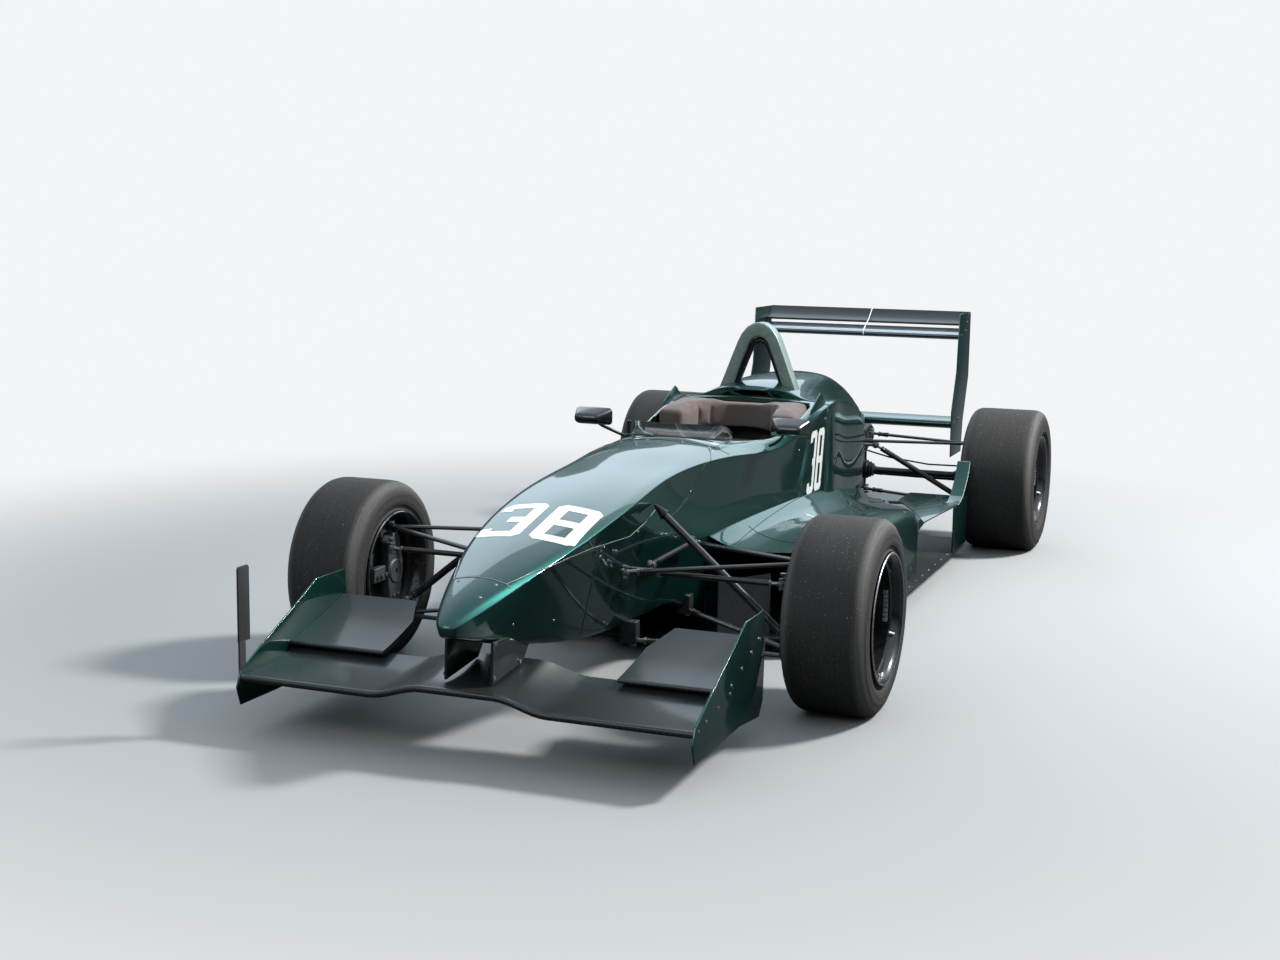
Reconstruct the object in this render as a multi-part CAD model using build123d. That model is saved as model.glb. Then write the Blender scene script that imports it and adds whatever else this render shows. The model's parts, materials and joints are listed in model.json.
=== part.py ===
from build123d import *
from math import cos, radians, sin, sqrt
import os

# A single seater open wheel racing car, at its real size in millimetres. X is across the car, plus to the
# driver's left. Lengths along the car are measured back from the front axle, as on a set-up sheet, and
# every piece is moved to the middle of the car when it is written. Z is up from the ground.

# Driving dimensions
WHEELBASE = 2675
NOSE_TIP = -930
CAR_REAR = 3240
MIDDLE = (NOSE_TIP + CAR_REAR) / 2
FRONT_TRACK = 760
REAR_TRACK = 745
FRONT_TYRE_RADIUS, FRONT_TYRE_WIDTH, FRONT_RIM_WIDTH = 275, 240, 244
REAR_TYRE_RADIUS, REAR_TYRE_WIDTH, REAR_RIM_WIDTH = 290, 300, 278
RIM_RADIUS, RIM_SEAT, SEAT_GAP = 165, 170, 0.3
DISC_RADIUS = 136
SHUT_GAP = 1.0
PANEL = 8.0
TUB_WALL = 25.0
TUB_FRONT, TUB_REAR = -330, 1500
COCKPIT_FRONT, COCKPIT_REAR = 700, 1455
FOOTWELL_FRONT = 150
GROUND_GAP = 45
FLOOR_TOP = 66
FLOOR_SKIN = 6
POD_SIDE = 600
ENDPLATE = 627
PLATE = 5
REAR_ENDPLATE = 463
WHEEL_TILT = 13
COLUMN_END = (0, 905, 535)
HOOP_FRONT, HOOP_DEPTH = 1562, 62
PADDING_FRONT, PADDING_FOOT, PADDING_TALL = 1190, 590, 108
PIPE_RADIUS = 28

# Front suspension and steering, as points (across, back, up) on the left side
KINGPIN = 665
UPPER_JOINT, LOWER_JOINT = 412, 160
UPPER_AHEAD, UPPER_BEHIND = (130, -198, 375), (150, 332, 382)
LOWER_AHEAD, LOWER_BEHIND = (150, -30, 148), (150, 386, 152)
FRONT_PUSH_TOP, FRONT_PUSH_FOOT = (176, 34, 540), (618, -14, 176)
LINK_AHEAD, LINK_BEHIND = (206, -66, 380), (206, 296, 385)
ROD_ENDS = [(174, -182), (199, 301)]
RACK_Y, RACK_Z, RACK_REACH = -100, 366, 596

# Rear suspension, in the same way
REAR_UPPER_AHEAD, REAR_UPPER_BEHIND, REAR_UPPER_JOINT = (118, 2480, 436), (118, 2820, 428), (618, 2655, 428)
REAR_LOWER_AHEAD, REAR_LOWER_BEHIND, REAR_LOWER_JOINT = (104, 2480, 178), (92, 2860, 178), (618, 2665, 170)
REAR_PUSH_TOP, REAR_PUSH_FOOT = (196, 2640, 402), (588, 2636, 188)
TOE_INNER, TOE_OUTER = (112, 2790, 262), (628, 2748, 262)

# Arms and rods: chord and thickness of a blade, radius of a rod
UPPER_ARM, LOWER_ARM = (26, 13), (28, 13)
PUSH_ROD, TRACK_ROD, TOE_ROD, ROD_END, JOINT = 11, 8, 9, 16, 15

PARTS = {}


# Helpers
def station(y):
    """A plane across the car at a distance behind the front axle."""
    return Plane(origin=(0, y, 0), x_dir=(1, 0, 0), z_dir=(0, -1, 0))


def trimmed(shape, *others):
    """What is left of a shape clear of the others, as its largest solid."""
    for other in others:
        shape = shape - other
    return max(shape.solids(), key=lambda solid: solid.volume)


def side(x):
    """A plane along the car, looking from its left: first coordinate back, second up."""
    return Plane(origin=(x, 0, 0), x_dir=(0, 1, 0), z_dir=(1, 0, 0))


def block(x0, x1, y0, y1, z0, z1):
    return Pos((x0 + x1) / 2, (y0 + y1) / 2, (z0 + z1) / 2) * Box(x1 - x0, y1 - y0, z1 - z0)


def rod(start, end, radius):
    run = Vector(*end) - Vector(*start)
    base = Plane(origin=start, z_dir=run)
    return base * Cylinder(radius, run.length, align=(Align.CENTER, Align.CENTER, Align.MIN))


# The section of a streamlined arm, blunt end forward, in shares of its chord and its thickness
BLADE_TOP = [(-0.5, 0), (-0.28, 0.44), (0.12, 0.5), (0.5, 0)]
BLADE_SECTION = BLADE_TOP + [(back, -up) for back, up in BLADE_TOP[-2:0:-1]]


def blade(start, end, size):
    """A streamlined arm, wide along the car, drawn out between two points. size is (chord, thickness)."""
    chord, thickness = size
    run = Vector(*end) - Vector(*start)
    across = Vector(0, 1, 0) - run.normalized() * run.normalized().dot(Vector(0, 1, 0))
    base = Plane(origin=start, x_dir=across, z_dir=run)
    outline = Polyline(*[(back * chord, up * thickness) for back, up in BLADE_SECTION], close=True)
    return extrude(base * make_face(outline), amount=run.length)


def plate(points, x0, x1):
    """A flat plate along the car, from an outline of (back, up) points."""
    return extrude(side(x0) * make_face(Polyline(*points, close=True)), amount=x1 - x0)


def level(points, z0, z1):
    """A flat level sheet, from an outline of (across, back) points."""
    return Pos(0, 0, z0) * extrude(make_face(Polyline(*points, close=True)), amount=z1 - z0)


def other_side(shape):
    return mirror(shape, about=Plane.YZ)


def both_sides(shape):
    return shape + other_side(shape)


def keep(node, shape):
    PARTS[node] = Pos(0, -MIDDLE, 0) * shape


# Body sections. Columns: y, half width at the floor, floor height, half width and height of the crease, half
# width and height of the rim, crown height.
FRONT_BODY = [
    (-930, 10, 344, 16, 358, 8, 366, 368),
    (-905, 26, 331, 36, 368, 22, 382, 387),
    (-835, 46, 311, 62, 392, 44, 412, 420),
    (-750, 60, 288, 88, 418, 66, 438, 448),
    (-647, 72, 265, 114, 449, 88, 466, 476),
    (-540, 82, 243, 139, 479, 110, 493, 503),
    (-435, 91, 222, 159, 502, 128, 516, 527),
    (-320, 101, 205, 173, 528, 140, 541, 555),
    (-201, 110, 193, 181, 550, 146, 563, 581),
    (-70, 120, 191, 183, 573, 144, 584, 600),
    (56, 130, 191, 179, 590, 136, 600, 612),
    (170, 140, 191, 178, 600, 128, 608, 620),
    (280, 150, 191, 183, 606, 116, 618, 632),
    (390, 160, 150, 195, 611, 112, 632, 644),
    (500, 185, 100, 212, 612, 120, 636, 646),
    (600, 200, GROUND_GAP, 226, 610, 134, 640, 648),
    (700, 210, GROUND_GAP, 240, 604, 160, 641, 647),
    (850, 226, GROUND_GAP, 254, 592, 206, 629, 636),
    (1000, 236, GROUND_GAP, 264, 588, 244, 625, 632),
    (1100, 241, GROUND_GAP, 273, 600, 260, 638, 645),
    (1200, 246, GROUND_GAP, 284, 619, 272, 657, 664),
    (1300, 250, GROUND_GAP, 288, 645, 272, 680, 687),
    (1369, 252, GROUND_GAP, 289, 662, 268, 688, 698),
    (TUB_REAR, 258, GROUND_GAP, 291, 684, 246, 696, 710),
]
# The engine cover has two more columns after the crease: half width and height of the valley between its
# round shoulder and its spine.
REAR_BODY = [
    (TUB_REAR + 2, 284, 300, 290, 685, 226, 698, 142, 728, 742),
    (1640, 290, 300, 287, 692, 206, 690, 128, 746, 762),
    (1827, 268, 300, 248, 674, 188, 660, 122, 750, 766),
    (2005, 256, 300, 240, 655, 176, 636, 118, 744, 760),
    (2142, 248, 300, 236, 616, 170, 598, 116, 732, 750),
    (2277, 232, 300, 228, 535, 162, 540, 110, 708, 728),
    (2400, 205, 300, 212, 458, 152, 488, 104, 680, 702),
    (2640, 130, 420, 140, 448, 112, 470, 86, 618, 638),
    (2900, 62, 470, 82, 486, 68, 500, 48, 538, 550),
]


def body_section(row, grow=0.0):
    """One closed section: flat floor, leaning side, a facet or a shoulder and valley, and a crowned top."""
    y, half_floor, floor, half_crease, crease, *valley, half_rim, rim, crown = row
    low, chine = (half_floor + grow, floor - grow), (half_crease + grow, crease)
    rim, crown = (half_rim + grow / 2, rim + grow), (0, crown + grow)
    half = [low, chine] + ([(valley[0] + grow / 2, valley[1] + grow)] if valley else []) + [rim]
    other = [(-across, up) for across, up in reversed(half)]
    outline = [Line(*pair) for pair in zip(half, half[1:])] + [ThreePointArc(rim, crown, other[0])]
    outline += [Line(*pair) for pair in zip(other, other[1:])] + [Line(other[-1], low)]
    return station(y) * make_face(outline)


def body_loft(rows, grow=0.0, ruled=True):
    return loft([body_section(row, grow) for row in rows], ruled=ruled)


def between(rows, y):
    """The section row at any distance, by straight interpolation between its neighbours."""
    for before, after in zip(rows, rows[1:]):
        if before[0] <= y <= after[0]:
            share = (y - before[0]) / (after[0] - before[0])
            return (y,) + tuple(a + (b - a) * share for a, b in zip(before[1:], after[1:]))
    raise ValueError(y)


def stretch(rows, y0, y1):
    """The rows between two distances, with a fresh row at each end."""
    return [between(rows, y0)] + [row for row in rows if y0 < row[0] < y1] + [between(rows, y1)]


# Body shells: nose cone, top cover, tub and engine cover
NOSE_SEAM = -732
COVER_REAR = 600
COVER_EDGE = [
    (NOSE_SEAM, 440), (-640, 458), (-500, 471), (-381, 477), (-125, 467), (-13, 488), (62, 514), (110, 498),
    (201, 473), (251, 486), (316, 514), (352, 545), (391, 587), (420, 606), (COVER_REAR, 637),
    (COVER_REAR, 800), (NOSE_SEAM, 800),
]


def front_shells():
    outer = body_loft(FRONT_BODY)
    above = plate(COVER_EDGE, -400, 400)
    inner = body_loft(stretch(FRONT_BODY, FOOTWELL_FRONT, TUB_REAR - TUB_WALL), -TUB_WALL)
    cover_room = body_loft(stretch(FRONT_BODY, -640, COVER_REAR - 1), -PANEL)
    rack_tunnel = rod((-300, RACK_Y, RACK_Z), (300, RACK_Y, RACK_Z), 18)
    opening = Pos(0, 0, 560) * extrude(cockpit_plan(), amount=240)
    cover = (outer & above) - inner - cover_room
    rest = outer - above - inner - rack_tunnel
    ahead = block(-400, 400, NOSE_TIP - 50, TUB_FRONT - SHUT_GAP, 0, 900)
    behind = block(-400, 400, TUB_FRONT, TUB_REAR + 50, 0, 900)
    keep("front_cover", cover)
    keep("nose_cone", rest & ahead)
    keep("monocoque", (rest & behind) - opening)


def cockpit_plan():
    """The cockpit opening seen from above: a straight front, round corners, and sides that bow outward."""
    corner, shoulder, widest, rear = (120, COCKPIT_FRONT), (160, 732), (262, 1225), (238, COCKPIT_REAR)
    right = [
        ThreePointArc(corner, (150, 708), shoulder), ThreePointArc(shoulder, (238, 975), widest),
        ThreePointArc(widest, (256, 1369), rear),
    ]
    left = [mirror(edge, about=Plane.YZ) for edge in right]
    front = Line((-corner[0], COCKPIT_FRONT), corner)
    return make_face([front, Line((-rear[0], COCKPIT_REAR), rear)] + right + left)


def engine_cover():
    shell = body_loft(REAR_BODY) - body_loft(REAR_BODY, -PANEL)
    mouth = block(-400, 400, TUB_REAR + 4, 2890, 280, 312)
    tail = block(-300, 300, 2380, 2900, 280, 470)
    keep("engine_cover", shell - mouth - tail)


# Cockpit
def windscreen():
    """A low clear band that follows the front of the opening and leans back."""
    ring = offset(cockpit_plan(), 9) - offset(cockpit_plan(), 5)
    band = Pos(0, 0, 600) * extrude(ring, amount=110, dir=(0, 0.37, 0.93))
    rear = block(-400, 400, 752, 1600, 500, 900)
    lid = plate([(640, 690), (712, 688), (752, 662), (752, 900), (640, 900)], -400, 400)
    keep("windscreen", band - rear - lid - body_loft(FRONT_BODY, SHUT_GAP / 2))


def roll_hoop():
    foot, knee, neck = (152, 712), (106, 834), (80, 900)
    inner_foot, inner_neck = (104, 712), (42, 880)
    outer = make_face([
        Line((-foot[0], foot[1]), foot), Line(foot, knee), Line(knee, neck),
        ThreePointArc(neck, (0, 972), (-neck[0], neck[1])),
        Line((-neck[0], neck[1]), (-knee[0], knee[1])), Line((-knee[0], knee[1]), (-foot[0], foot[1])),
    ])
    inner = make_face([
        Line((-inner_foot[0], inner_foot[1]), inner_foot), Line(inner_foot, inner_neck),
        ThreePointArc(inner_neck, (0, 918), (-inner_neck[0], inner_neck[1])),
        Line((-inner_neck[0], inner_neck[1]), (-inner_foot[0], inner_foot[1])),
    ])
    hoop = extrude(station(HOOP_FRONT) * (outer - inner), amount=-HOOP_DEPTH)
    keep("roll_hoop", hoop - body_loft(REAR_BODY, SHUT_GAP))


def cockpit_fins():
    """A small upright fin on each side of the cockpit, behind the driver's shoulder."""
    fin = plate([(1306, 640), (1508, 660), (1508, 694), (1452, 730), (1434, 737), (1312, 684)], 275, 279)
    tub = body_loft(stretch(FRONT_BODY, 1200, TUB_REAR), SHUT_GAP / 2)
    keep("cockpit_fins", both_sides(trimmed(fin, tub, body_loft(REAR_BODY, SHUT_GAP / 2))))


def cockpit_padding():
    """The padded collar round the driver's head: it fills the opening's sides and rear."""
    behind = Pos(0, (PADDING_FRONT + COCKPIT_REAR) / 2) * Rectangle(600, COCKPIT_REAR - PADDING_FRONT)
    outer = offset(cockpit_plan(), -3) & behind
    inner = make_face([
        Line((-165, 1000), (165, 1000)), Line((165, 1000), (150, 1330)),
        ThreePointArc((150, 1330), (0, 1418), (-150, 1330)), Line((-150, 1330), (-165, 1000)),
    ])
    keep("cockpit_padding", Pos(0, 0, PADDING_FOOT) * extrude(outer - inner, amount=PADDING_TALL))


def seat():
    shell = plate([
        (935, 150), (1180, 82), (1330, 92), (1448, 560), (1436, 560), (1318, 106), (1182, 96), (938, 163),
    ], -165, 165)
    cheek = plate([
        (1000, 145), (1180, 96), (1318, 106), (1430, 540), (1330, 500), (1180, 290), (1010, 250),
    ], 165, 177)
    keep("seat", shell + cheek + other_side(cheek))


def steering():
    """A round wheel cut flat below, on its column, with the stay that holds the column across the tub."""
    tilt = radians(WHEEL_TILT)
    face = Plane(origin=COLUMN_END, x_dir=(1, 0, 0), z_dir=(0, cos(tilt), sin(tilt)))
    rim_outline = Circle(125) - Pos(0, -150) * Rectangle(300, 120)
    hole = Circle(101) - Pos(0, -140) * Rectangle(300, 130)
    hub = Rectangle(210, 46) + Pos(0, -45) * Rectangle(46, 90) + Circle(40)
    ring = extrude(face * (rim_outline - hole), amount=24)
    centre_plate = extrude(face * (hub & rim_outline), amount=10)
    keep("steering_wheel", ring + centre_plate)
    column = extrude(face.offset(-6) * Circle(16), amount=-560)
    stay = block(-205, 205, 700, 715, 470, 500)
    keep("steering_column", column + stay)


# Aerodynamic pieces
def aerofoil(lead, trail, depth, nose):
    """An upside down wing section from its leading to its trailing edge, its belly deep below the chord."""
    chord = Vector(*trail) - Vector(*lead)
    back = chord.normalized()
    down = Vector(back.Y, -back.X)
    edge = 1.5

    def at(share, drop):
        return Vector(*lead) + chord * share + down * drop

    outline = [
        ThreePointArc(at(0, -nose), at(0.45, depth * 0.35 - nose * 0.5), at(1, -edge)),
        Line(at(1, -edge), at(1, edge)),
        ThreePointArc(at(1, edge), at(0.42, depth), at(0, nose)),
        ThreePointArc(at(0, nose), at(0, 0) - back * nose, at(0, -nose)),
    ]
    return make_face(outline)


# The front wing's main plane is level out to RAMP_START, where its raised middle comes down to RAMP_END
RAMP_START, RAMP_END, MIDDLE_LIFT = 112, 235, 30
MAIN_LEAD, MAIN_TRAIL = (-862, 154), (-590, 186)
FLAP_ROOT, FLAP_LEAD, FLAP_TRAIL = 318, (-628, 196), (-350, 276)


def main_section(lift=0):
    return aerofoil((MAIN_LEAD[0], MAIN_LEAD[1] + lift), (MAIN_TRAIL[0], MAIN_TRAIL[1] + lift), 26, 9)


def front_wing():
    tip = ENDPLATE - PLATE / 2
    centre = extrude(side(-RAMP_START) * main_section(MIDDLE_LIFT), amount=2 * RAMP_START)
    ramp = loft([side(RAMP_START) * main_section(MIDDLE_LIFT), side(RAMP_END) * main_section()], ruled=True)
    outer = extrude(side(RAMP_END) * main_section(), amount=tip - RAMP_END)
    keep("front_wing_main", centre + ramp + outer + other_side(ramp) + other_side(outer))
    flap = extrude(side(FLAP_ROOT) * aerofoil(FLAP_LEAD, FLAP_TRAIL, 16, 6), amount=tip - FLAP_ROOT)
    cut = level([(300, -560), (345, -452), (352, -300), (300, -300)], 100, 400)
    keep("front_flaps", both_sides(flap - cut))
    outline = [
        (-866, 83), (-883, 134), (-864, 173), (-760, 224), (-613, 288), (-489, 347), (-339, 347), (-326, 237),
        (-333, 103), (-364, 66), (-526, 84), (-706, 82),
    ]
    keep("front_endplates", both_sides(plate(outline, tip, tip + PLATE)))
    foot = MAIN_LEAD[1] + MIDDLE_LIFT
    pylon = plate([(-800, foot + 8), (-618, foot + 27), (-570, 262), (-690, 300), (-795, 304)], 60, 68)
    pylon = trimmed(pylon, body_loft(FRONT_BODY, SHUT_GAP / 2), PARTS_AT_AXLE["front_wing_main"])
    keep("wing_pylons", both_sides(pylon))
    outside = -(tip + PLATE)
    mount = block(outside - 6, outside, -860, -832, 90, 250)
    keep("timing_strut", mount + block(outside - 6, outside, -862, -811, 246, 446))


def rear_wing():
    half = REAR_ENDPLATE - PLATE / 2
    main = extrude(side(-half) * aerofoil((3014, 848), (3160, 874), 26, 9), amount=2 * half)
    flap = extrude(side(-half) * aerofoil((3152, 892), (3236, 946), 12, 5), amount=2 * half)
    beam = extrude(side(-half) * aerofoil((2924, 474), (3060, 492), 30, 14), amount=2 * half)
    outline = [
        (2996, 947), (CAR_REAR, 945), (CAR_REAR, 660), (3150, 470), (3130, 330), (2905, 330), (2895, 530),
        (2975, 700),
    ]
    keep("rear_wing_main", main)
    keep("rear_wing_flap", flap)
    keep("rear_beam_wing", beam)
    keep("rear_endplates", both_sides(plate(outline, half, half + PLATE)))


# Sidepods. Columns: y, outer half width, top height, height where the top meets the tub.
POD = [
    (480, 585, 322, 372),
    (640, 592, 328, 386),
    (850, POD_SIDE, 331, 392),
    (1200, POD_SIDE, 328, 392),
    (TUB_REAR, POD_SIDE, 315, 376),
    (TUB_REAR + 2, POD_SIDE, 315, 376),
    (1717, 596, 292, 352),
    (1900, 520, 272, 322),
    (2150, 400, 240, 290),
    (2380, 340, 214, 250),
]
POD_CORNER = 46
POD_SWEEP = 110


def body_half_width(y, z):
    """Half the width of the tub or engine cover beside the pods, at a height."""
    rows = FRONT_BODY if y <= TUB_REAR else REAR_BODY
    _, half_floor, floor, half_crease, crease, *_ = between(rows, y)
    return half_floor + (half_crease - half_floor) * max(z - floor, 0) / (crease - floor)


def pod_section(row, inset=0.0):
    """Flat under and outside, a round outer corner, and a hollow curve that sweeps up to the tub."""
    y, half, top, shoulder = row
    wall = SHUT_GAP + inset
    low, high, meet = FLOOR_TOP + inset, top - inset, shoulder - inset
    inner_low, inner_high = body_half_width(y, low) + wall, body_half_width(y, meet) + wall
    half = half - inset
    corner = POD_CORNER - inset
    bulge = corner * (1 - sqrt(0.5))
    sweep = inner_high + (half - corner - inner_high) * 0.5
    outline = [
        Line((inner_low, low), (half, low)),
        Line((half, low), (half, high - corner)),
        ThreePointArc((half, high - corner), (half - bulge, high - bulge), (half - corner, high)),
        Line((half - corner, high), (sweep, high)),
        ThreePointArc(
            (sweep, high), (inner_high * 0.7 + sweep * 0.3, high + (meet - high) * 0.38), (inner_high, meet)
        ),
        Line((inner_high, meet), (inner_low, low)),
    ]
    return station(y) * make_face(outline)


def sidepods():
    beside = {row[0] for row in FRONT_BODY + REAR_BODY + POD if POD[0][0] <= row[0] <= POD[-1][0]}
    rows = [between(POD, y) for y in sorted(beside)]
    outer = loft([pod_section(row) for row in rows], ruled=True)
    duct = loft([pod_section(row, PANEL) for row in rows], ruled=True)
    inlet = level([(200, 400), (700, 400), (700, 640), (230, 484)], 0, 500)
    shell = outer - duct - inlet
    keep("sidepod_left", shell)
    keep("sidepod_right", other_side(shell))
    core = Pos(428, 1060, 190) * Rot(0, 0, 32) * Box(270, 45, 210)
    keep("radiators", both_sides(core))


def flip_ups():
    """The shelf behind each pod and the curved lip that lifts air over the rear tyre."""
    shelf = level([(612, 1700), (650, 2150), (650, 2372), (410, 2372), (410, 2160), (530, 1910)], 246, 252)
    front = ThreePointArc((2150, 250), (2290, 300), (2372, 392))
    back = ThreePointArc((2376, 390), (2296, 295), (2160, 247))
    lip = make_face([front, Line((2372, 392), (2376, 390)), back, Line((2160, 247), (2150, 250))])
    fin = extrude(side(598) * lip, amount=52)
    stay = block(640, 648, 2100, 2360, FLOOR_TOP, 247)
    keep("flip_ups", both_sides(shelf + fin + stay))


RAMP_FRONT, RAMP_REAR, RAMP_RISE = 2560, 2980, 84


def floor():
    """A flat sheet over a plank, with the diffuser's ramp behind and a fence down each side of it."""
    half = [
        (0, 330), (120, 330), (150, 420), (420, 470), (600, 560), (645, 800), (650, 2300), (628, 2440),
        (420, 2440), (400, RAMP_FRONT), (0, RAMP_FRONT),
    ]
    outline = half + [(-x, y) for x, y in reversed(half) if x]
    low = FLOOR_TOP - FLOOR_SKIN
    sheet = level(outline, low, FLOOR_TOP)
    tub = body_loft(stretch(FRONT_BODY, 280, TUB_REAR), SHUT_GAP)
    high = low + RAMP_RISE
    ramp = plate([
        (RAMP_FRONT, low), (RAMP_REAR, high), (RAMP_REAR, high + FLOOR_SKIN), (RAMP_FRONT, FLOOR_TOP),
    ], -400, 400)
    fence = plate([
        (2440, FLOOR_TOP), (RAMP_REAR, high + FLOOR_SKIN), (RAMP_REAR, 100), (RAMP_FRONT, 44), (2440, 44),
    ], 395, 401)
    plank = block(-150, 150, 420, 2500, 30, 44)
    keep("floor", (sheet + ramp) - tub + fence + other_side(fence) + plank)
    start, end = Vector(276, 332), Vector(388, 508)
    run = (end - start).normalized()
    normal = Vector(-run.Y, run.X) * 2.5
    corners = [start + normal, end + normal, end - normal, start - normal]
    vane = level([(corner.X, corner.Y) for corner in corners], FLOOR_TOP, 262)
    keep("turning_vanes", both_sides(vane))


def mirrors():
    """A wedge shaped shell on a thin stalk each side, its wide end towards the driver."""
    ahead, behind, centre = 768, 832, (345, 682)
    shell = loft([
        station(behind) * Pos(*centre) * RectangleRounded(134, 60, 12),
        station(behind - 22) * Pos(*centre) * RectangleRounded(134, 60, 14),
        station(ahead) * Pos(centre[0] + 8, centre[1] - 4) * RectangleRounded(84, 30, 12),
    ], ruled=True)
    tub = body_loft(stretch(FRONT_BODY, 640, 1200), SHUT_GAP / 2)
    stalk = trimmed(rod((252, 905, 604), (322, 812, 662), 6), tub)
    keep("mirrors", both_sides(shell + stalk))


# Running gear
def tyre(radius, width, rim_width):
    """A slick in section: bead on the rim, bulged wall, shoulder and flat tread, turned about the axle."""
    half, bead = width / 2, RIM_SEAT + SEAT_GAP
    wall = [(rim_width / 2 - 16, bead), (half, bead + 44), (half - 15, radius - 13), (half - 36, radius)]
    outline = wall + [(-across, up) for across, up in reversed(wall)]
    return revolve(make_face(Polyline(*outline, close=True)), axis=Axis.X)


SPOKES = 8
WINDOW = [(72, -16), (72, 16), (136, 30), (136, -30)]
RIM_FACE, RIM_WALL = -12, 6


def rim(width, disc_at):
    """A deep dished rim with its centre, hub bell and brake disc, turned about the axle, plus X outboard."""
    half, face, wall = width / 2, RIM_FACE, RIM_WALL
    well, flange = RIM_RADIUS - 2, RIM_SEAT + 14
    inboard = [(-half, flange), (-half, RIM_SEAT - wall), (-half + 30, well - wall), (face - 8, well - wall)]
    disc = [
        (face - 8, 60), (disc_at + 6, 60), (disc_at + 6, DISC_RADIUS), (disc_at - 6, DISC_RADIUS),
        (disc_at - 6, 42), (face - 8, 42),
    ]
    centre = [(face - 8, 0), (face + 10, 0), (face + 10, 30), (face + 6, 60), (face + 6, well - 26)]
    outboard = [(face + 22, well - wall), (half - 6, RIM_SEAT - wall), (half, flange), (half - 5, flange)]
    seat_line = [
        (half - 13, RIM_SEAT), (face + 20, well), (-half + 34, well), (-half + 13, RIM_SEAT),
        (-half + 5, flange),
    ]
    outline = inboard + disc + centre + outboard + seat_line
    body = revolve(make_face(Polyline(*outline, close=True)), axis=Axis.X)
    window = Rot(0, 90, 0) * extrude(make_face(Polyline(*WINDOW, close=True)), amount=60, both=True)
    window = window & block(face - 10, face + 9, -200, 200, -200, 200)
    for spoke in range(SPOKES):
        body = body - Rot(spoke * 360 / SPOKES, 0, 0) * window
    return body


def corner(node, x, y, radius, width, rim_width, disc_at):
    for name, turn in (("left", 0), ("right", 180)):
        place = Pos(x if turn == 0 else -x, y, radius) * Rot(0, 0, turn)
        keep(f"tyre_{node}_{name}", place * tyre(radius, width, rim_width))
        keep(f"rim_{node}_{name}", place * rim(rim_width, disc_at))


def front_knuckle():
    """The post between the two joints, its bearing carrier, steering arm, and caliper on a bracket."""
    axle = FRONT_TYRE_RADIUS
    half_post = [(22, LOWER_JOINT), (40, 230), (36, 330), (20, UPPER_JOINT - 18)]
    post = plate(half_post + [(-back, up) for back, up in reversed(half_post)], 648, 682)
    carrier = rod((648, 0, axle), (690, 0, axle), 38)
    arm = level([(650, -20), (676, -20), (634, -112), (610, -112), (610, -92)], 380, 390)
    bracket = block(660, 682, -110, -30, 250, 300)
    caliper = block(674, 730, -148, -98, 238, 312) - block(684, 716, -140, -90, 200, 350)
    pins = rod((KINGPIN, 0, LOWER_JOINT - 4), (KINGPIN, 0, LOWER_JOINT + 10), 12)
    return post + carrier + arm + bracket + caliper + pins


def front_suspension():
    knuckle = front_knuckle()
    keep("knuckle_left", knuckle)
    keep("knuckle_right", other_side(knuckle))
    upper_out, lower_out = (KINGPIN, 0, UPPER_JOINT), (KINGPIN, 0, LOWER_JOINT - 20)
    upper = blade(UPPER_AHEAD, upper_out, UPPER_ARM) + blade(UPPER_BEHIND, upper_out, UPPER_ARM)
    upper = upper + rod((KINGPIN, 0, UPPER_JOINT - 12), (KINGPIN, 0, UPPER_JOINT + 8), JOINT)
    for x, y in ROD_ENDS:
        upper = upper + rod((x, y, 362), (x, y, 397), ROD_END)
    lower = blade(LOWER_AHEAD, lower_out, LOWER_ARM) + blade(LOWER_BEHIND, lower_out, LOWER_ARM)
    lower = lower + rod((KINGPIN, 0, LOWER_JOINT - 34), (KINGPIN, 0, LOWER_JOINT - 10), JOINT)
    feet = block(106, 158, -48, -12, 138, 205) + block(132, 172, 368, 408, 138, 200)
    link_pin = rod((140, *LINK_AHEAD[1:]), (219, *LINK_AHEAD[1:]), 10)
    link = rod(LINK_AHEAD, LINK_BEHIND, TRACK_ROD) + link_pin
    push = rod(FRONT_PUSH_TOP, FRONT_PUSH_FOOT, PUSH_ROD) + rod((600, -30, 192), (600, 6, 192), ROD_END)
    side_set = upper + link + lower + feet + push - body_loft(FRONT_BODY, SHUT_GAP / 2)
    keep("front_wishbones_left", side_set)
    keep("front_wishbones_right", other_side(side_set))
    bar = rod((-RACK_REACH, RACK_Y, RACK_Z), (RACK_REACH, RACK_Y, RACK_Z), TRACK_ROD)
    bar = bar + rod((-230, RACK_Y, RACK_Z), (230, RACK_Y, RACK_Z), 12)
    eye = rod((RACK_REACH + 8, RACK_Y, RACK_Z - 7), (RACK_REACH + 8, RACK_Y, RACK_Z + 7), 13)
    keep("steering_rack", bar + eye + other_side(eye))


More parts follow.
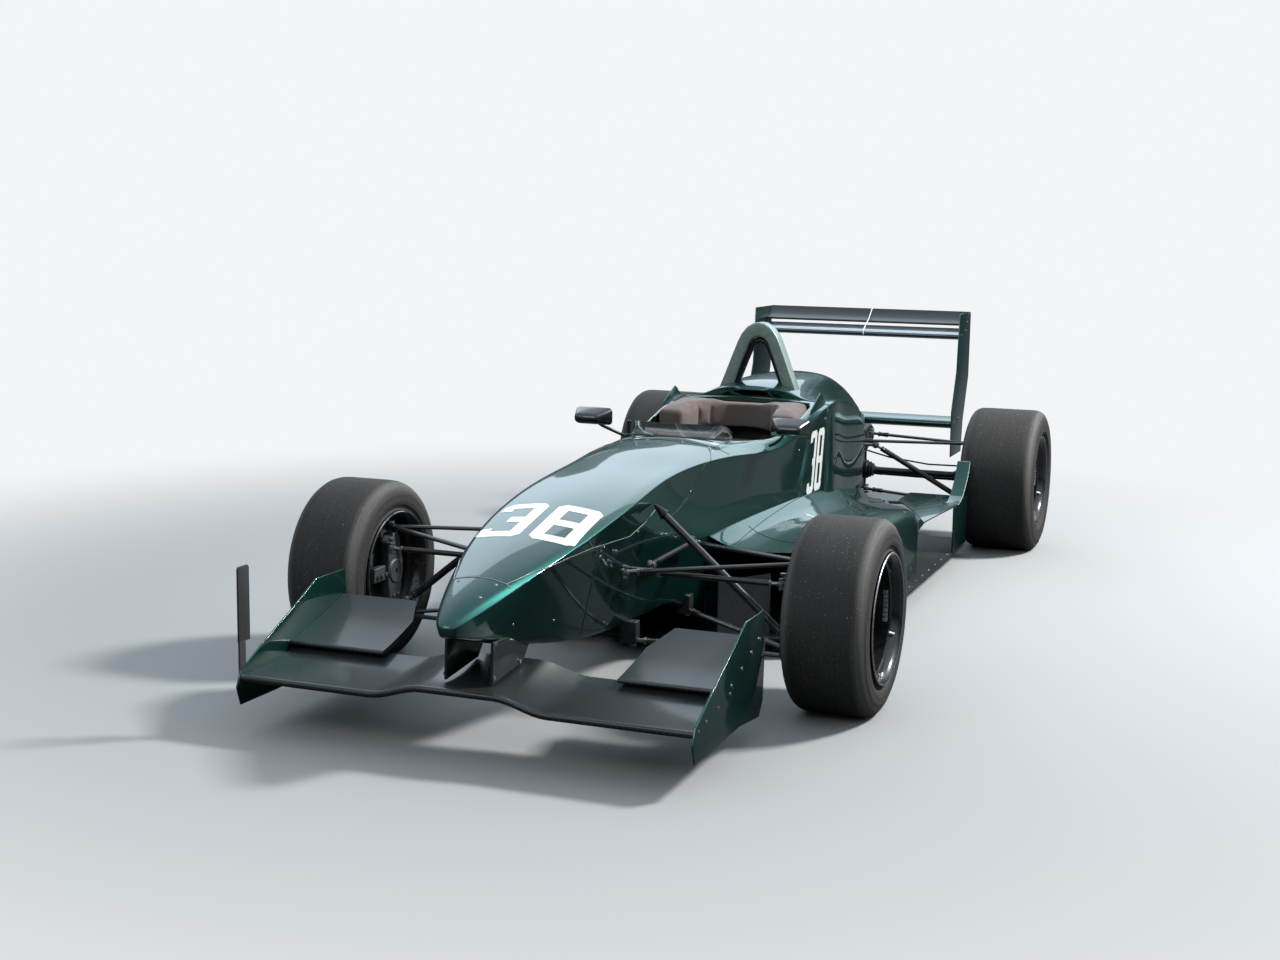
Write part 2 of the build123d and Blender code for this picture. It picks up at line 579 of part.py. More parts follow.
def rear_suspension():
    axle = REAR_TYRE_RADIUS
    upright = plate([
        (2640, 150), (2710, 150), (2730, 230), (2760, 262), (2730, 360), (2690, 436), (2640, 436),
        (2620, 300),
    ], 628, 664)
    ring = rod((628, WHEELBASE, axle), (672, WHEELBASE, axle), 50)
    bore = rod((600, WHEELBASE, axle), (700, WHEELBASE, axle), 26)
    caliper = block(656, 712, WHEELBASE + 98, WHEELBASE + 148, 250, 326)
    caliper = caliper - block(666, 698, WHEELBASE + 90, WHEELBASE + 140, 200, 380)
    bracket = block(640, 664, WHEELBASE + 30, WHEELBASE + 112, 262, 310)
    keep("rear_uprights", both_sides(upright + ring + caliper + bracket - bore))
    upper = block(604, 628, 2640, 2670, 416, 438) + blade(REAR_UPPER_AHEAD, REAR_UPPER_JOINT, UPPER_ARM)
    upper = upper + blade(REAR_UPPER_BEHIND, REAR_UPPER_JOINT, UPPER_ARM)
    lower = block(604, 628, 2648, 2682, 156, 184) + blade(REAR_LOWER_AHEAD, REAR_LOWER_JOINT, LOWER_ARM)
    lower = lower + blade(REAR_LOWER_BEHIND, REAR_LOWER_JOINT, LOWER_ARM)
    push = rod(REAR_PUSH_TOP, REAR_PUSH_FOOT, PUSH_ROD) + rod((574, 2618, 195), (574, 2655, 195), ROD_END)
    side_set = upper + lower + push + rod(TOE_INNER, TOE_OUTER, TOE_ROD)
    side_set = side_set - PARTS_AT_AXLE["gearbox"] - PARTS_AT_AXLE["rear_uprights"]
    keep("rear_wishbones_left", side_set)
    keep("rear_wishbones_right", other_side(side_set))


# A drive shaft from the gearbox to the hub. Columns: distance across the car, radius.
SHAFT = [
    (128, 0), (128, 40), (158, 40), (164, 30), (170, 34), (177, 24), (184, 28), (191, 16), (200, 13),
    (520, 13), (530, 16), (537, 28), (544, 24), (551, 34), (558, 30), (564, 38), (620, 38), (620, 21),
    (724.8, 21), (724.8, 0),
]


def drive_shafts():
    shaft = revolve(make_face(Polyline(*SHAFT, close=True)), axis=Axis.X)
    shaft = Pos(0, WHEELBASE, REAR_TYRE_RADIUS) * shaft
    keep("drive_shaft_left", shaft)
    keep("drive_shaft_right", other_side(shaft))


# Bell housing and gearbox. Columns: distance back, width, height of each section and of each bolted flange.
CASE_HEIGHT = 300
CASE = [(2151, 280, 340), (2420, 210, 280), (2900, 180, 250)]
FLANGES = [(2156, 296, 356), (2420, 226, 296), (2560, 214, 284), (2740, 202, 270), (2894, 192, 262)]


def drivetrain():
    keep("engine", block(-150, 150, 1560, 2150, 80, 560))
    sections = [station(y) * Pos(0, CASE_HEIGHT) * Rectangle(across, tall) for y, across, tall in CASE]
    case = loft(sections[:2], ruled=True) + loft(sections[1:], ruled=True)
    for y, across, tall in FLANGES:
        case = case + Pos(0, y, CASE_HEIGHT) * Box(across, 10, tall)
    rocker = level([(80, 2570), (204, 2626), (204, 2654), (80, 2710)], 396, 408)
    output = rod((70, WHEELBASE, REAR_TYRE_RADIUS), (124, WHEELBASE, REAR_TYRE_RADIUS), 44)
    keep("gearbox", case + both_sides(rocker + output))
    nose = loft([
        station(2901) * Pos(0, 350) * Rectangle(150, 140), station(3190) * Pos(0, 380) * Rectangle(96, 90),
    ], ruled=True)
    post = block(-16, 16, 2960, 3040, 400, 452)
    eye = plate([(3150, 300), (3228, 300), (3228, 345), (3150, 350)], -6, 6)
    eye = eye - rod((-20, 3205, 323), (20, 3205, 323), 14)
    jack_bar = rod((-70, 3040, 262), (70, 3040, 262), 12.5)
    jack_bar = jack_bar + plate([(3020, 242), (3060, 242), (3060, 322), (3020, 316)], -8, 8)
    keep("crash_structure", nose + post + eye + jack_bar - PARTS_AT_AXLE["rear_beam_wing"])
    keep("rain_light", block(-50, 50, 3191, 3216, 350, 410))
    head, bend, tail = (-130, 2000, 250), (-205, 2080, 250), (-160, 2430, 262)
    pipe = rod(head, bend, PIPE_RADIUS) + Pos(*bend) * Sphere(PIPE_RADIUS) + rod(bend, tail, PIPE_RADIUS)
    keep("exhaust", trimmed(pipe, PARTS_AT_AXLE["gearbox"], PARTS_AT_AXLE["engine"]))


class AtAxle(dict):
    """The pieces as modelled, measured from the front axle again."""

    def __missing__(self, node):
        return Pos(0, MIDDLE, 0) * PARTS[node]


PARTS_AT_AXLE = AtAxle()

front_shells()
engine_cover()
windscreen()
roll_hoop()
cockpit_fins()
cockpit_padding()
seat()
steering()
front_wing()
rear_wing()
sidepods()
flip_ups()
floor()
mirrors()
corner("front", FRONT_TRACK, 0, FRONT_TYRE_RADIUS, FRONT_TYRE_WIDTH, FRONT_RIM_WIDTH, -56)
corner("rear", REAR_TRACK, WHEELBASE, REAR_TYRE_RADIUS, REAR_TYRE_WIDTH, REAR_RIM_WIDTH, -63)
drivetrain()
drive_shafts()
front_suspension()
rear_suspension()

os.makedirs("parts", exist_ok=True)
for node, shape in PARTS.items():
    export_step(shape, f"parts/{node}.step")
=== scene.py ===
# %% [markdown]
# A single seater racing car in dark metallic green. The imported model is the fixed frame: it says where each
# piece is and how it moves. This script gives every piece its finish, and remodels the painted shells as
# smooth moulded skins, because gloss paint shows every facet.

# %% Load the frame
import json
import math

import bmesh
import bpy
from mathutils import Matrix, Vector
from mathutils.bvhtree import BVHTree

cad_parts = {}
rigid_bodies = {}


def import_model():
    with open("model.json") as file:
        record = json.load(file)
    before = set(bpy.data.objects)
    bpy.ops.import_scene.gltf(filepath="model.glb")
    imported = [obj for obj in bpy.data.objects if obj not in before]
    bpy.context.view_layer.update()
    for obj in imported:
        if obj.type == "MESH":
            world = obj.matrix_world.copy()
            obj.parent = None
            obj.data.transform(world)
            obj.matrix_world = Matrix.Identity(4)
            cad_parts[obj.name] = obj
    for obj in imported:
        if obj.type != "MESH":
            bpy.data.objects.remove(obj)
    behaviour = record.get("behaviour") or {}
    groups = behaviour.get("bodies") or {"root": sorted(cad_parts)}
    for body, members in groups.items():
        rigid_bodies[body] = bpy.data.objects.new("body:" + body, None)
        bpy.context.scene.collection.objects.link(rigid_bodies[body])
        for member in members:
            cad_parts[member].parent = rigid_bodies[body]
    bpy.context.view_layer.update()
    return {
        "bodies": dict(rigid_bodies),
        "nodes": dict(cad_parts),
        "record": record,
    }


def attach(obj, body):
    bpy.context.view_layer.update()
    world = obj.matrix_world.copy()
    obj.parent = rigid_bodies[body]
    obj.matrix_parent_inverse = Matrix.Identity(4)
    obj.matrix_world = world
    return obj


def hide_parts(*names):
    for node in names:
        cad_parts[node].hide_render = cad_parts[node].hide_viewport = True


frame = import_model()
nodes = frame["nodes"]

# %% [markdown]
# The camera stands where the photographer stood: in front of the car, a little to the driver's left, at
# head height. Its place and lens were worked out from the four wheels.

# %% Camera
CAMERA_PLACE = Vector((1.9383, -5.7942, 1.3720))
TURN, DIP, LEAN = 0.3688, 0.1521, 0.0149
FOCAL_SHARE = 1759.8 / 1280
SENSOR = 36.0

camera_data = bpy.data.cameras.new("camera")
camera_data.sensor_width = SENSOR
camera_data.lens = FOCAL_SHARE * SENSOR
camera_data.clip_end = 200
camera = bpy.data.objects.new("camera", camera_data)
look = Matrix.Rotation(TURN, 4, "Z") @ Matrix.Rotation(math.pi / 2 - DIP, 4, "X")
look = look @ Matrix.Rotation(LEAN, 4, "Z")
camera.matrix_world = Matrix.Translation(CAMERA_PLACE) @ look
bpy.context.scene.collection.objects.link(camera)
bpy.context.scene.camera = camera

# %% [markdown]
# Stage and finishes are all made of shader nodes, through the same few helpers: one that adds a node, and
# one each for arithmetic, a range, a mix of colours and a mix of shaders.

# %% Node helpers
def connect(tree, socket, value):
    """Links a socket to another node's output, or gives it a plain value."""
    if isinstance(value, bpy.types.NodeSocket):
        tree.links.new(value, socket)
    else:
        socket.default_value = value


def add_node(tree, kind, operation=None, **sockets):
    node = tree.nodes.new("ShaderNode" + kind)
    if operation:
        node.operation = operation
    for name, value in sockets.items():
        connect(tree, node.inputs[name], value)
    return node


def math_node(tree, operation, *values, clamp=False):
    node = add_node(tree, "Math", operation)
    node.use_clamp = clamp
    for socket, value in zip(node.inputs, values):
        connect(tree, socket, value)
    return node.outputs[0]


def map_range(tree, value, low, high, kind="LINEAR"):
    """Nought to one as the value goes from low to high."""
    node = add_node(tree, "MapRange", Value=value)
    node.interpolation_type = kind
    node.inputs["From Min"].default_value = low
    node.inputs["From Max"].default_value = high
    return node.outputs["Result"]


def mix_colours(tree, mask, first, second):
    node = add_node(tree, "Mix")
    node.data_type = "RGBA"
    tree.links.new(mask, node.inputs["Factor"])
    for socket, value in ((node.inputs[6], first), (node.inputs[7], second)):
        connect(tree, socket, (*value, 1) if isinstance(value, tuple) else value)
    return node.outputs[2]


def show_mix(tree, mask, first, second, output):
    """Sends a mix of two shaders to the tree's output."""
    node = add_node(tree, "MixShader", Fac=mask)
    tree.links.new(first, node.inputs[1])
    tree.links.new(second, node.inputs[2])
    tree.links.new(node.outputs["Shader"], tree.nodes[output].inputs["Surface"])


# %% Stage and light
FLOOR_COLOUR, DARK_GROUND = (0.34, 0.34, 0.337), (0.06, 0.062, 0.065)
BACKDROP_COLOUR = (0.90, 0.91, 0.92, 1)
FADE_START, FADE_END = 1.9, 4.6
LOW_SKY, OPEN_SKY = 0.08, 0.56
LOW_COLOUR, SKY_COLOUR = (0.034, 0.043, 0.040), (0.66, 0.78, 0.88)
FLOOR_RADIUS = 60


def floor_material():
    """Grey under the car, fading with distance into the colour of the backdrop, so no horizon shows.

    What the paint reflects is dark, and what the camera sees is the pale studio floor."""
    material = bpy.data.materials.new("floor_grey")
    material.use_nodes = True
    tree = material.node_tree
    shader = tree.nodes["Principled BSDF"]
    shader.inputs["Roughness"].default_value = 0.9
    shader.inputs["Specular IOR Level"].default_value = 0.1
    camera_ray = add_node(tree, "LightPath").outputs["Is Camera Ray"]
    tree.links.new(mix_colours(tree, camera_ray, DARK_GROUND, FLOOR_COLOUR), shader.inputs["Base Color"])
    place = add_node(tree, "TexCoord").outputs["Object"]
    distance = add_node(tree, "VectorMath", "LENGTH", Vector=place).outputs["Value"]
    fade = map_range(tree, distance, FADE_START, FADE_END, "SMOOTHSTEP")
    glow = add_node(tree, "Emission", Color=BACKDROP_COLOUR).outputs["Emission"]
    share = math_node(tree, "MULTIPLY", fade, camera_ray)
    show_mix(tree, share, shader.outputs["BSDF"], glow, "Material Output")
    return material


def make_floor():
    bpy.ops.mesh.primitive_circle_add(vertices=96, radius=FLOOR_RADIUS, fill_type="NGON", location=(0, 0, 0))
    floor = bpy.context.object
    floor.name = "studio_floor"
    floor.data.materials.append(floor_material())


def make_world():
    """The sky that lights the car, and the plain backdrop that the camera sees in its place."""
    world = bpy.data.worlds.new("studio")
    world.use_nodes = True
    tree = world.node_tree
    sky = tree.nodes["Background"]
    way = add_node(tree, "TexCoord").outputs["Generated"]
    height = add_node(tree, "SeparateXYZ", Vector=way).outputs["Z"]
    open_share = map_range(tree, height, LOW_SKY, OPEN_SKY, "SMOOTHSTEP")
    tree.links.new(mix_colours(tree, open_share, LOW_COLOUR, SKY_COLOUR), sky.inputs["Color"])
    backdrop = add_node(tree, "Background", Color=BACKDROP_COLOUR)
    camera_ray = add_node(tree, "LightPath").outputs["Is Camera Ray"]
    show_mix(tree, camera_ray, sky.outputs["Background"], backdrop.outputs["Background"], "World Output")
    bpy.context.scene.world = world


def area_lamp(name, place, aim, size, watts, colour=(1, 1, 1)):
    data = bpy.data.lights.new(name, "AREA")
    data.shape = "RECTANGLE"
    data.size, data.size_y = size
    data.energy = watts
    data.color = colour
    lamp = bpy.data.objects.new(name, data)
    lamp.location = place
    lamp.rotation_euler = (Vector(aim) - Vector(place)).to_track_quat("-Z", "Y").to_euler()
    bpy.context.scene.collection.objects.link(lamp)


make_floor()
make_world()
area_lamp("key_lamp", (5.6, 2.4, 6.0), (0, -0.3, 0.3), (1.3, 1.3), 1200)
area_lamp("back_lamp", (-2.6, 7.5, 5.2), (0, -0.8, 0.5), (11.0, 5.0), 290, SKY_COLOUR)
area_lamp("front_lamp", (-1.5, -7.0, 4.5), (0, 0, 0.4), (5.0, 2.0), 90)
bpy.context.scene.view_settings.view_transform = "Standard"
print("stage", bpy.context.scene.world.name)

# %% [markdown]
# Measures in this script are the maker's: millimetres across the car, back from the front axle and up from
# the ground. One helper turns them into the frame's metres, so a number read off the car can be typed as it
# is.

# %% A place on the car
AXLE_TO_MIDDLE = 1155


def spot(across, back, up):
    return Vector((across, back - AXLE_TO_MIDDLE, up)) / 1000


print("front axle is at", spot(0, 0, 0))

# %% [markdown]
# Three effects are used by more than one finish, so each is a group: a fine speckle of light and dark, dust
# that gathers on faces that look up, and carbon twill. The groups only put out masks, and the Principled
# shader stays in the finish itself.

# %% Speckle, dust and twill
def new_group(name, **inputs):
    """An empty group with number inputs and a mask output: the group, its inputs, its output, its place."""
    group = bpy.data.node_groups.new(name, "ShaderNodeTree")
    for label, value in inputs.items():
        socket = group.interface.new_socket(name=label, in_out="INPUT", socket_type="NodeSocketFloat")
        socket.default_value = value
    group.interface.new_socket(name="Mask", in_out="OUTPUT", socket_type="NodeSocketFloat")
    source, sink = group.nodes.new("NodeGroupInput"), group.nodes.new("NodeGroupOutput")
    place = add_node(group, "TexCoord").outputs["Object"]
    return group, source.outputs, sink.inputs["Mask"], place


def build_speckle():
    """Noise at one scale, squeezed to a mask between 0 and 1."""
    group, given, mask, place = new_group("speckle", Scale=40.0, Sharp=2.0)
    noise = add_node(group, "TexNoise", Vector=place, Scale=given["Scale"], Detail=4.0).outputs["Fac"]
    centred = math_node(group, "SUBTRACT", noise, 0.5)
    group.links.new(math_node(group, "MULTIPLY_ADD", centred, given["Sharp"], 0.5, clamp=True), mask)
    return group


def build_dust():
    """Dust lies on faces that look up, thicker low down on the car, and is broken up by noise."""
    group, given, mask, place = new_group("dust", Amount=0.2, Height=0.35)
    normal = add_node(group, "NewGeometry").outputs["Normal"]
    facing, height = (add_node(group, "SeparateXYZ", Vector=value).outputs["Z"] for value in (normal, place))
    low = math_node(group, "SUBTRACT", 1.0, math_node(group, "DIVIDE", height, given["Height"]), clamp=True)
    up = math_node(group, "MULTIPLY_ADD", facing, 0.4, 0.6)
    noise = add_node(group, "TexNoise", Vector=place, Scale=23.0, Detail=6.0).outputs["Fac"]
    lying = math_node(group, "MULTIPLY", math_node(group, "MULTIPLY", low, up), noise)
    group.links.new(math_node(group, "MULTIPLY", lying, given["Amount"], clamp=True), mask)
    return group


def build_twill():
    """Carbon twill: bands of tow that step sideways by one at each row, so the light runs in diagonals."""
    group, given, mask, place = new_group("twill", Tow=3.2)
    apart = add_node(group, "SeparateXYZ", Vector=place).outputs
    per_tow = math_node(group, "DIVIDE", 1000.0, given["Tow"])

    def counted(letter, share_of_height):
        leaning = math_node(group, "MULTIPLY", apart["Z"], share_of_height)
        return math_node(group, "MULTIPLY", math_node(group, "ADD", apart[letter], leaning), per_tow)

    column, row = counted("X", 0.35), counted("Y", 0.65)
    step = math_node(group, "ADD", math_node(group, "FLOOR", column), math_node(group, "FLOOR", row))
    over = math_node(group, "LESS_THAN", math_node(group, "FLOORED_MODULO", step, 4.0), 2.0)
    waves = [math_node(group, "PINGPONG", value, 0.5) for value in (column, row)]
    picked = add_node(group, "Mix", Factor=over, A=waves[0], B=waves[1]).outputs["Result"]
    group.links.new(math_node(group, "MULTIPLY_ADD", over, 0.5, picked, clamp=True), mask)
    return group


SPECKLE, DUST, TWILL = build_speckle(), build_dust(), build_twill()
print("groups", SPECKLE.name, DUST.name, TWILL.name)

# %% [markdown]
# A finish starts from two colours mixed by a mask. The mask also moves the roughness a little and can drive
# a bump, and a dust layer can lie on top. That covers paint, rubber, cloth, castings and plastic alike.

# %% The finish maker
FINISHES = {}
DUST_COLOUR, DUST_ROUGHNESS = (0.2, 0.18, 0.155), 0.4


def group_mask(tree, group, **values):
    node = tree.nodes.new("ShaderNodeGroup")
    node.node_tree = group
    for name, value in values.items():
        node.inputs[name].default_value = value
    return node.outputs["Mask"]


def speckled(scale, sharp=2.0):
    return lambda tree: group_mask(tree, SPECKLE, Scale=scale, Sharp=sharp)


def twilled(tow):
    return lambda tree: group_mask(tree, TWILL, Tow=tow)


def finish(slot, first, second, mask, rough=(0.4, 0.5), bump=0.0, bump_size=0.001, dust=0.0, **plain):
    """A material in the record's slot. mask(tree) gives the output that mixes the two colours."""
    material = bpy.data.materials.new(slot)
    material.use_nodes = True
    tree = material.node_tree
    shader = tree.nodes["Principled BSDF"]
    fleck = mask(tree)
    colour = mix_colours(tree, fleck, first, second)
    roughness = math_node(tree, "MULTIPLY_ADD", fleck, rough[1] - rough[0], rough[0])
    if dust:
        layer = group_mask(tree, DUST, Amount=dust)
        colour = mix_colours(tree, layer, colour, DUST_COLOUR)
        roughness = math_node(tree, "ADD", roughness, math_node(tree, "MULTIPLY", layer, DUST_ROUGHNESS))
    tree.links.new(colour, shader.inputs["Base Color"])
    tree.links.new(roughness, shader.inputs["Roughness"])
    if bump:
        relief = add_node(tree, "Bump", Strength=bump, Distance=bump_size, Height=fleck)
        tree.links.new(relief.outputs["Normal"], shader.inputs["Normal"])
    for name, value in plain.items():
        shader.inputs[name.replace("_", " ").title().replace("Ior", "IOR")].default_value = value
    FINISHES[slot] = material
    return material


# %% [markdown]
# The paint is a dark green with metal flake under thick lacquer. The flake is what turns pale mint where
# the light catches a round edge, so the base is partly metallic and fairly rough, and the lacquer is a
# sharp coat.

# %% Paint, carbon and plastics
finish("green_paint", (0.003, 0.031, 0.026), (0.013, 0.096, 0.082), speckled(900, 3), rough=(0.36, 0.48),
       dust=0.03, metallic=0.95, coat_weight=1.0, coat_roughness=0.03)
# The hoop's fairing is dark body green on the car. This pale grey-green is a painted reflection of the sky on
# it.
finish("hoop_paint", (0.20, 0.27, 0.24), (0.27, 0.34, 0.30), speckled(60), rough=(0.35, 0.5), metallic=0.2,
       coat_weight=0.4, coat_roughness=0.15)
finish("grey_paint", (0.028, 0.052, 0.066), (0.045, 0.075, 0.092), speckled(700, 3), rough=(0.25, 0.35),
       metallic=0.5, coat_weight=1.0, coat_roughness=0.05)
finish("carbon_weave", (0.002, 0.0025, 0.003), (0.020, 0.024, 0.026), twilled(4.2), rough=(0.34, 0.46),
       bump=0.12, bump_size=0.0003, dust=0.10, specular_ior_level=0.3, coat_weight=0.35, coat_roughness=0.12)
finish("carbon_plain", (0.008, 0.008, 0.009), (0.02, 0.02, 0.021), speckled(60), rough=(0.35, 0.45),
       coat_weight=0.4)
finish("gloss_black", (0.008, 0.008, 0.009), (0.014, 0.014, 0.015), speckled(30), rough=(0.22, 0.34),
       dust=0.08, coat_weight=0.8, coat_roughness=0.05)
finish("matt_black", (0.014, 0.014, 0.015), (0.028, 0.028, 0.029), speckled(180), rough=(0.6, 0.75),
       bump=0.2, dust=0.25)
finish("satin_black", (0.010, 0.010, 0.011), (0.020, 0.020, 0.021), speckled(220), rough=(0.3, 0.42),
       bump=0.08, bump_size=0.0004, dust=0.22, metallic=0.15)
finish("white_film", (0.72, 0.72, 0.70), (0.80, 0.80, 0.78), speckled(160), rough=(0.25, 0.35),
       coat_weight=0.5)
finish("white_plastic", (0.62, 0.62, 0.60), (0.75, 0.75, 0.73), speckled(200), rough=(0.4, 0.5))
finish("red_lens", (0.32, 0.006, 0.006), (0.45, 0.012, 0.01), speckled(90), rough=(0.12, 0.2),
       coat_weight=1.0)
finish("clear_tape", (0.20, 0.26, 0.25), (0.30, 0.36, 0.35), speckled(80), rough=(0.2, 0.3), coat_weight=0.6)
finish("clear_screen", (0.86, 0.92, 0.92), (0.9, 0.95, 0.95), speckled(8), rough=(0.03, 0.08), ior=1.45,
       transmission_weight=1.0)
finish("joint_dark", (0.004, 0.006, 0.006), (0.01, 0.014, 0.013), speckled(90), rough=(0.5, 0.6))
# Pale grey-green for painted highlights: the light caught on the seam edges, the cockpit rim and the lips.
finish("painted_highlight", (0.34, 0.42, 0.40), (0.52, 0.60, 0.58), speckled(60, 3), rough=(0.3, 0.45),
       metallic=0.3)

# %% Metals, rubber and cloth
finish("raw_aluminium", (0.30, 0.31, 0.32), (0.46, 0.47, 0.48), speckled(140), rough=(0.34, 0.5),
       metallic=1.0)
finish("bright_edge", (0.30, 0.31, 0.32), (0.5, 0.51, 0.52), speckled(120), rough=(0.25, 0.45), metallic=0.9)
finish("mirror_glass", (0.55, 0.57, 0.58), (0.6, 0.62, 0.63), speckled(20), rough=(0.03, 0.06), metallic=1.0)
finish("disc_iron", (0.12, 0.115, 0.11), (0.2, 0.19, 0.18), speckled(60), rough=(0.35, 0.5), metallic=0.9)
finish("rod_end_steel", (0.16, 0.16, 0.165), (0.28, 0.28, 0.29), speckled(240), rough=(0.35, 0.5),
       metallic=0.9)
finish("heated_steel", (0.20, 0.13, 0.08), (0.34, 0.30, 0.26), speckled(14, 2.5), rough=(0.3, 0.5),
       metallic=1.0)
finish("caliper_grey", (0.10, 0.10, 0.105), (0.17, 0.17, 0.175), speckled(160), rough=(0.35, 0.5),
       metallic=0.7)
finish("wheel_weight", (0.42, 0.42, 0.43), (0.55, 0.55, 0.56), speckled(300), rough=(0.4, 0.55), metallic=0.7)
finish("cast_magnesium", (0.055, 0.056, 0.058), (0.095, 0.096, 0.10), speckled(260, 3), rough=(0.45, 0.62),
       bump=0.35, bump_size=0.0006, dust=0.3, metallic=0.6)
finish("black_rim", (0.008, 0.008, 0.009), (0.016, 0.016, 0.017), speckled(50), rough=(0.2, 0.32),
       dust=0.12, metallic=0.3, coat_weight=0.9, coat_roughness=0.06)
finish("slick_rubber", (0.010, 0.0092, 0.0086), (0.026, 0.0235, 0.0218), speckled(210, 3.5),
       rough=(0.72, 0.9), bump=0.5, bump_size=0.0007, dust=0.15)
finish("taupe_cloth", (0.085, 0.060, 0.052), (0.135, 0.098, 0.086), speckled(620, 3), rough=(0.8, 0.95),
       bump=0.45, bump_size=0.0005, sheen_weight=0.25)
finish("suede", (0.012, 0.012, 0.012), (0.03, 0.03, 0.031), speckled(500, 3), rough=(0.85, 0.95), bump=0.4,
       sheen_weight=0.4, sheen_roughness=0.5)
finish("webbing", (0.012, 0.013, 0.016), (0.035, 0.037, 0.042), speckled(420, 3), rough=(0.75, 0.9), bump=0.3)
for row in frame["record"]["subparts"]:
    skin = nodes[row["node"]].data
    skin.materials.clear()
    skin.materials.append(FINISHES[row["material_slot"]])
print("finishes", len(FINISHES))

# %% [markdown]
# The nose, the top cover and the tub are one smooth form on the real car, cut into panels afterwards. So
# they are made that way here: one cage is extruded from station to station, mirrored and subdivided, and
# the seams are scored into it with bisect_plane. Each panel is then one region of the same surface, and the
# paint's reflections run on across the gaps.

# %% Piece helpers
HANDS = {"left": 1, "right": -1}
SHARP_ANGLE = 38


def make_piece(name, form, slot, body="chassis", stands_for=(), sharp=SHARP_ANGLE):
    bmesh.ops.recalc_face_normals(form, faces=form.faces[:])
    mesh = bpy.data.meshes.new(name)
    form.to_mesh(mesh)
    form.free()
    piece = bpy.data.objects.new(name, mesh)
    bpy.context.scene.collection.objects.link(piece)
    mesh.materials.append(FINISHES[slot])
    smooth(piece, sharp)
    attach(piece, body)
    if stands_for:
        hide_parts(*stands_for)
    return piece


def smooth(piece, sharp=SHARP_ANGLE):
    piece.data.shade_smooth()
    piece.data.set_sharp_from_angle(angle=math.radians(sharp))


def settle(piece, sharp=SHARP_ANGLE):
    """Applies the piece's modifiers, so that its mesh is final."""
    graph = bpy.context.evaluated_depsgraph_get()
    piece.data = bpy.data.meshes.new_from_object(piece.evaluated_get(graph))
    piece.modifiers.clear()
    smooth(piece, sharp)
    return piece


def modify(piece, kind, **values):
    modifier = piece.modifiers.new(kind.lower(), kind)
    for name, value in values.items():
        setattr(modifier, name, value)


def subdivide(piece, levels=2):
    modify(piece, "SUBSURF", levels=levels, render_levels=levels)


def bevel_corners(piece, width, segments):
    modify(piece, "BEVEL", width=width, segments=segments, limit_method="ANGLE", angle_limit=math.radians(50))


def thicken(piece, wall, rim_bevel=0.0012):
    modify(piece, "SOLIDIFY", thickness=wall, offset=-1, use_even_offset=True)
    bevel_corners(piece, rim_bevel, 2)


# %% Form helpers
def new_items(made, kind):
    """The verts or edges among what an extrusion made."""
    return [item for item in made["geom"] if isinstance(item, kind)]


def everything(form):
    return form.verts[:] + form.edges[:] + form.faces[:]


def move(form, vec):
    bmesh.ops.translate(form, vec=vec, verts=form.verts[:])
    return form


def rotate(form, degrees, letter):
    turned = Matrix.Rotation(math.radians(degrees), 3, letter)
    bmesh.ops.rotate(form, cent=(0, 0, 0), matrix=turned, verts=form.verts[:])
    return form


def set_by(form, matrix):
    bmesh.ops.transform(form, matrix=matrix, verts=form.verts[:])
    return form


def round_edges(form, size, segments=2, edges=None):
    rounded = form.edges[:] if edges is None else edges
    bmesh.ops.bevel(form, geom=rounded, offset=size, segments=segments, profile=0.5, affect="EDGES",
                    material=-1)
    return form


def block(size, round_off, segments=2):
    """A box about the origin, its size in metres, with all its edges rounded."""
    form = bmesh.new()
    bmesh.ops.create_cube(form, size=1.0)
    bmesh.ops.scale(form, vec=size, verts=form.verts[:])
    return round_edges(form, round_off, segments)


def merge_into(form, *parts):
    """Adds the faces of other forms to one form."""
    for part in parts:
        mesh = bpy.data.meshes.new("passing")
        part.to_mesh(mesh)
        part.free()
        form.from_mesh(mesh)
        bpy.data.meshes.remove(mesh)
    return form


def turned_over(form, hand):
    """Mirrors a form to the right hand side when hand is minus one."""
    if hand < 0:
        bmesh.ops.scale(form, vec=(-1, 1, 1), verts=form.verts[:])
        bmesh.ops.reverse_faces(form, faces=form.faces[:])
    return form


def add_pair(form, make, *values):
    """Adds make(*values) to a form on the left, and its mirror image on the right."""
    for hand in HANDS.values():
        merge_into(form, turned_over(make(*values), hand))
    return form


# %% The cage helper
def build_cage(sections, creases=(), mirrored=True):
    """Extrudes a line of points from section to section. creases gives (column, weight) pairs."""
    form = bmesh.new()
    weights = form.edges.layers.float.new("crease_edge")
    line = [form.verts.new(point) for point in sections[0]]
    edges = [form.edges.new(pair) for pair in zip(line, line[1:])]
    for section in sections[1:]:
        order = {vert: column for column, vert in enumerate(line)}
        made = bmesh.ops.extrude_edge_only(form, edges=edges)
        edges = new_items(made, bmesh.types.BMEdge)
        fresh = {}
        for vert in new_items(made, bmesh.types.BMVert):
            link = next(edge for edge in vert.link_edges if edge.other_vert(vert) in order)
            fresh[order[link.other_vert(vert)]] = (vert, link)
        line = [fresh[column][0] for column in range(len(section))]
        for vert, point in zip(line, section):
            vert.co = point
        for column, weight in creases:
            fresh[column][1][weights] = weight
    if mirrored:
        bmesh.ops.mirror(form, geom=everything(form), matrix=Matrix.Identity(4), merge_dist=0.0004, axis="X")
    bmesh.ops.recalc_face_normals(form, faces=form.faces[:])
    return form


# %% [markdown]
# The stations of the front body were read off the photograph against the wheels. Each row is how far back
# it stands, then half width and height of the flat bottom, of the chine where the top turns into the side,
# and of the soft line above it, then the height of the crown.

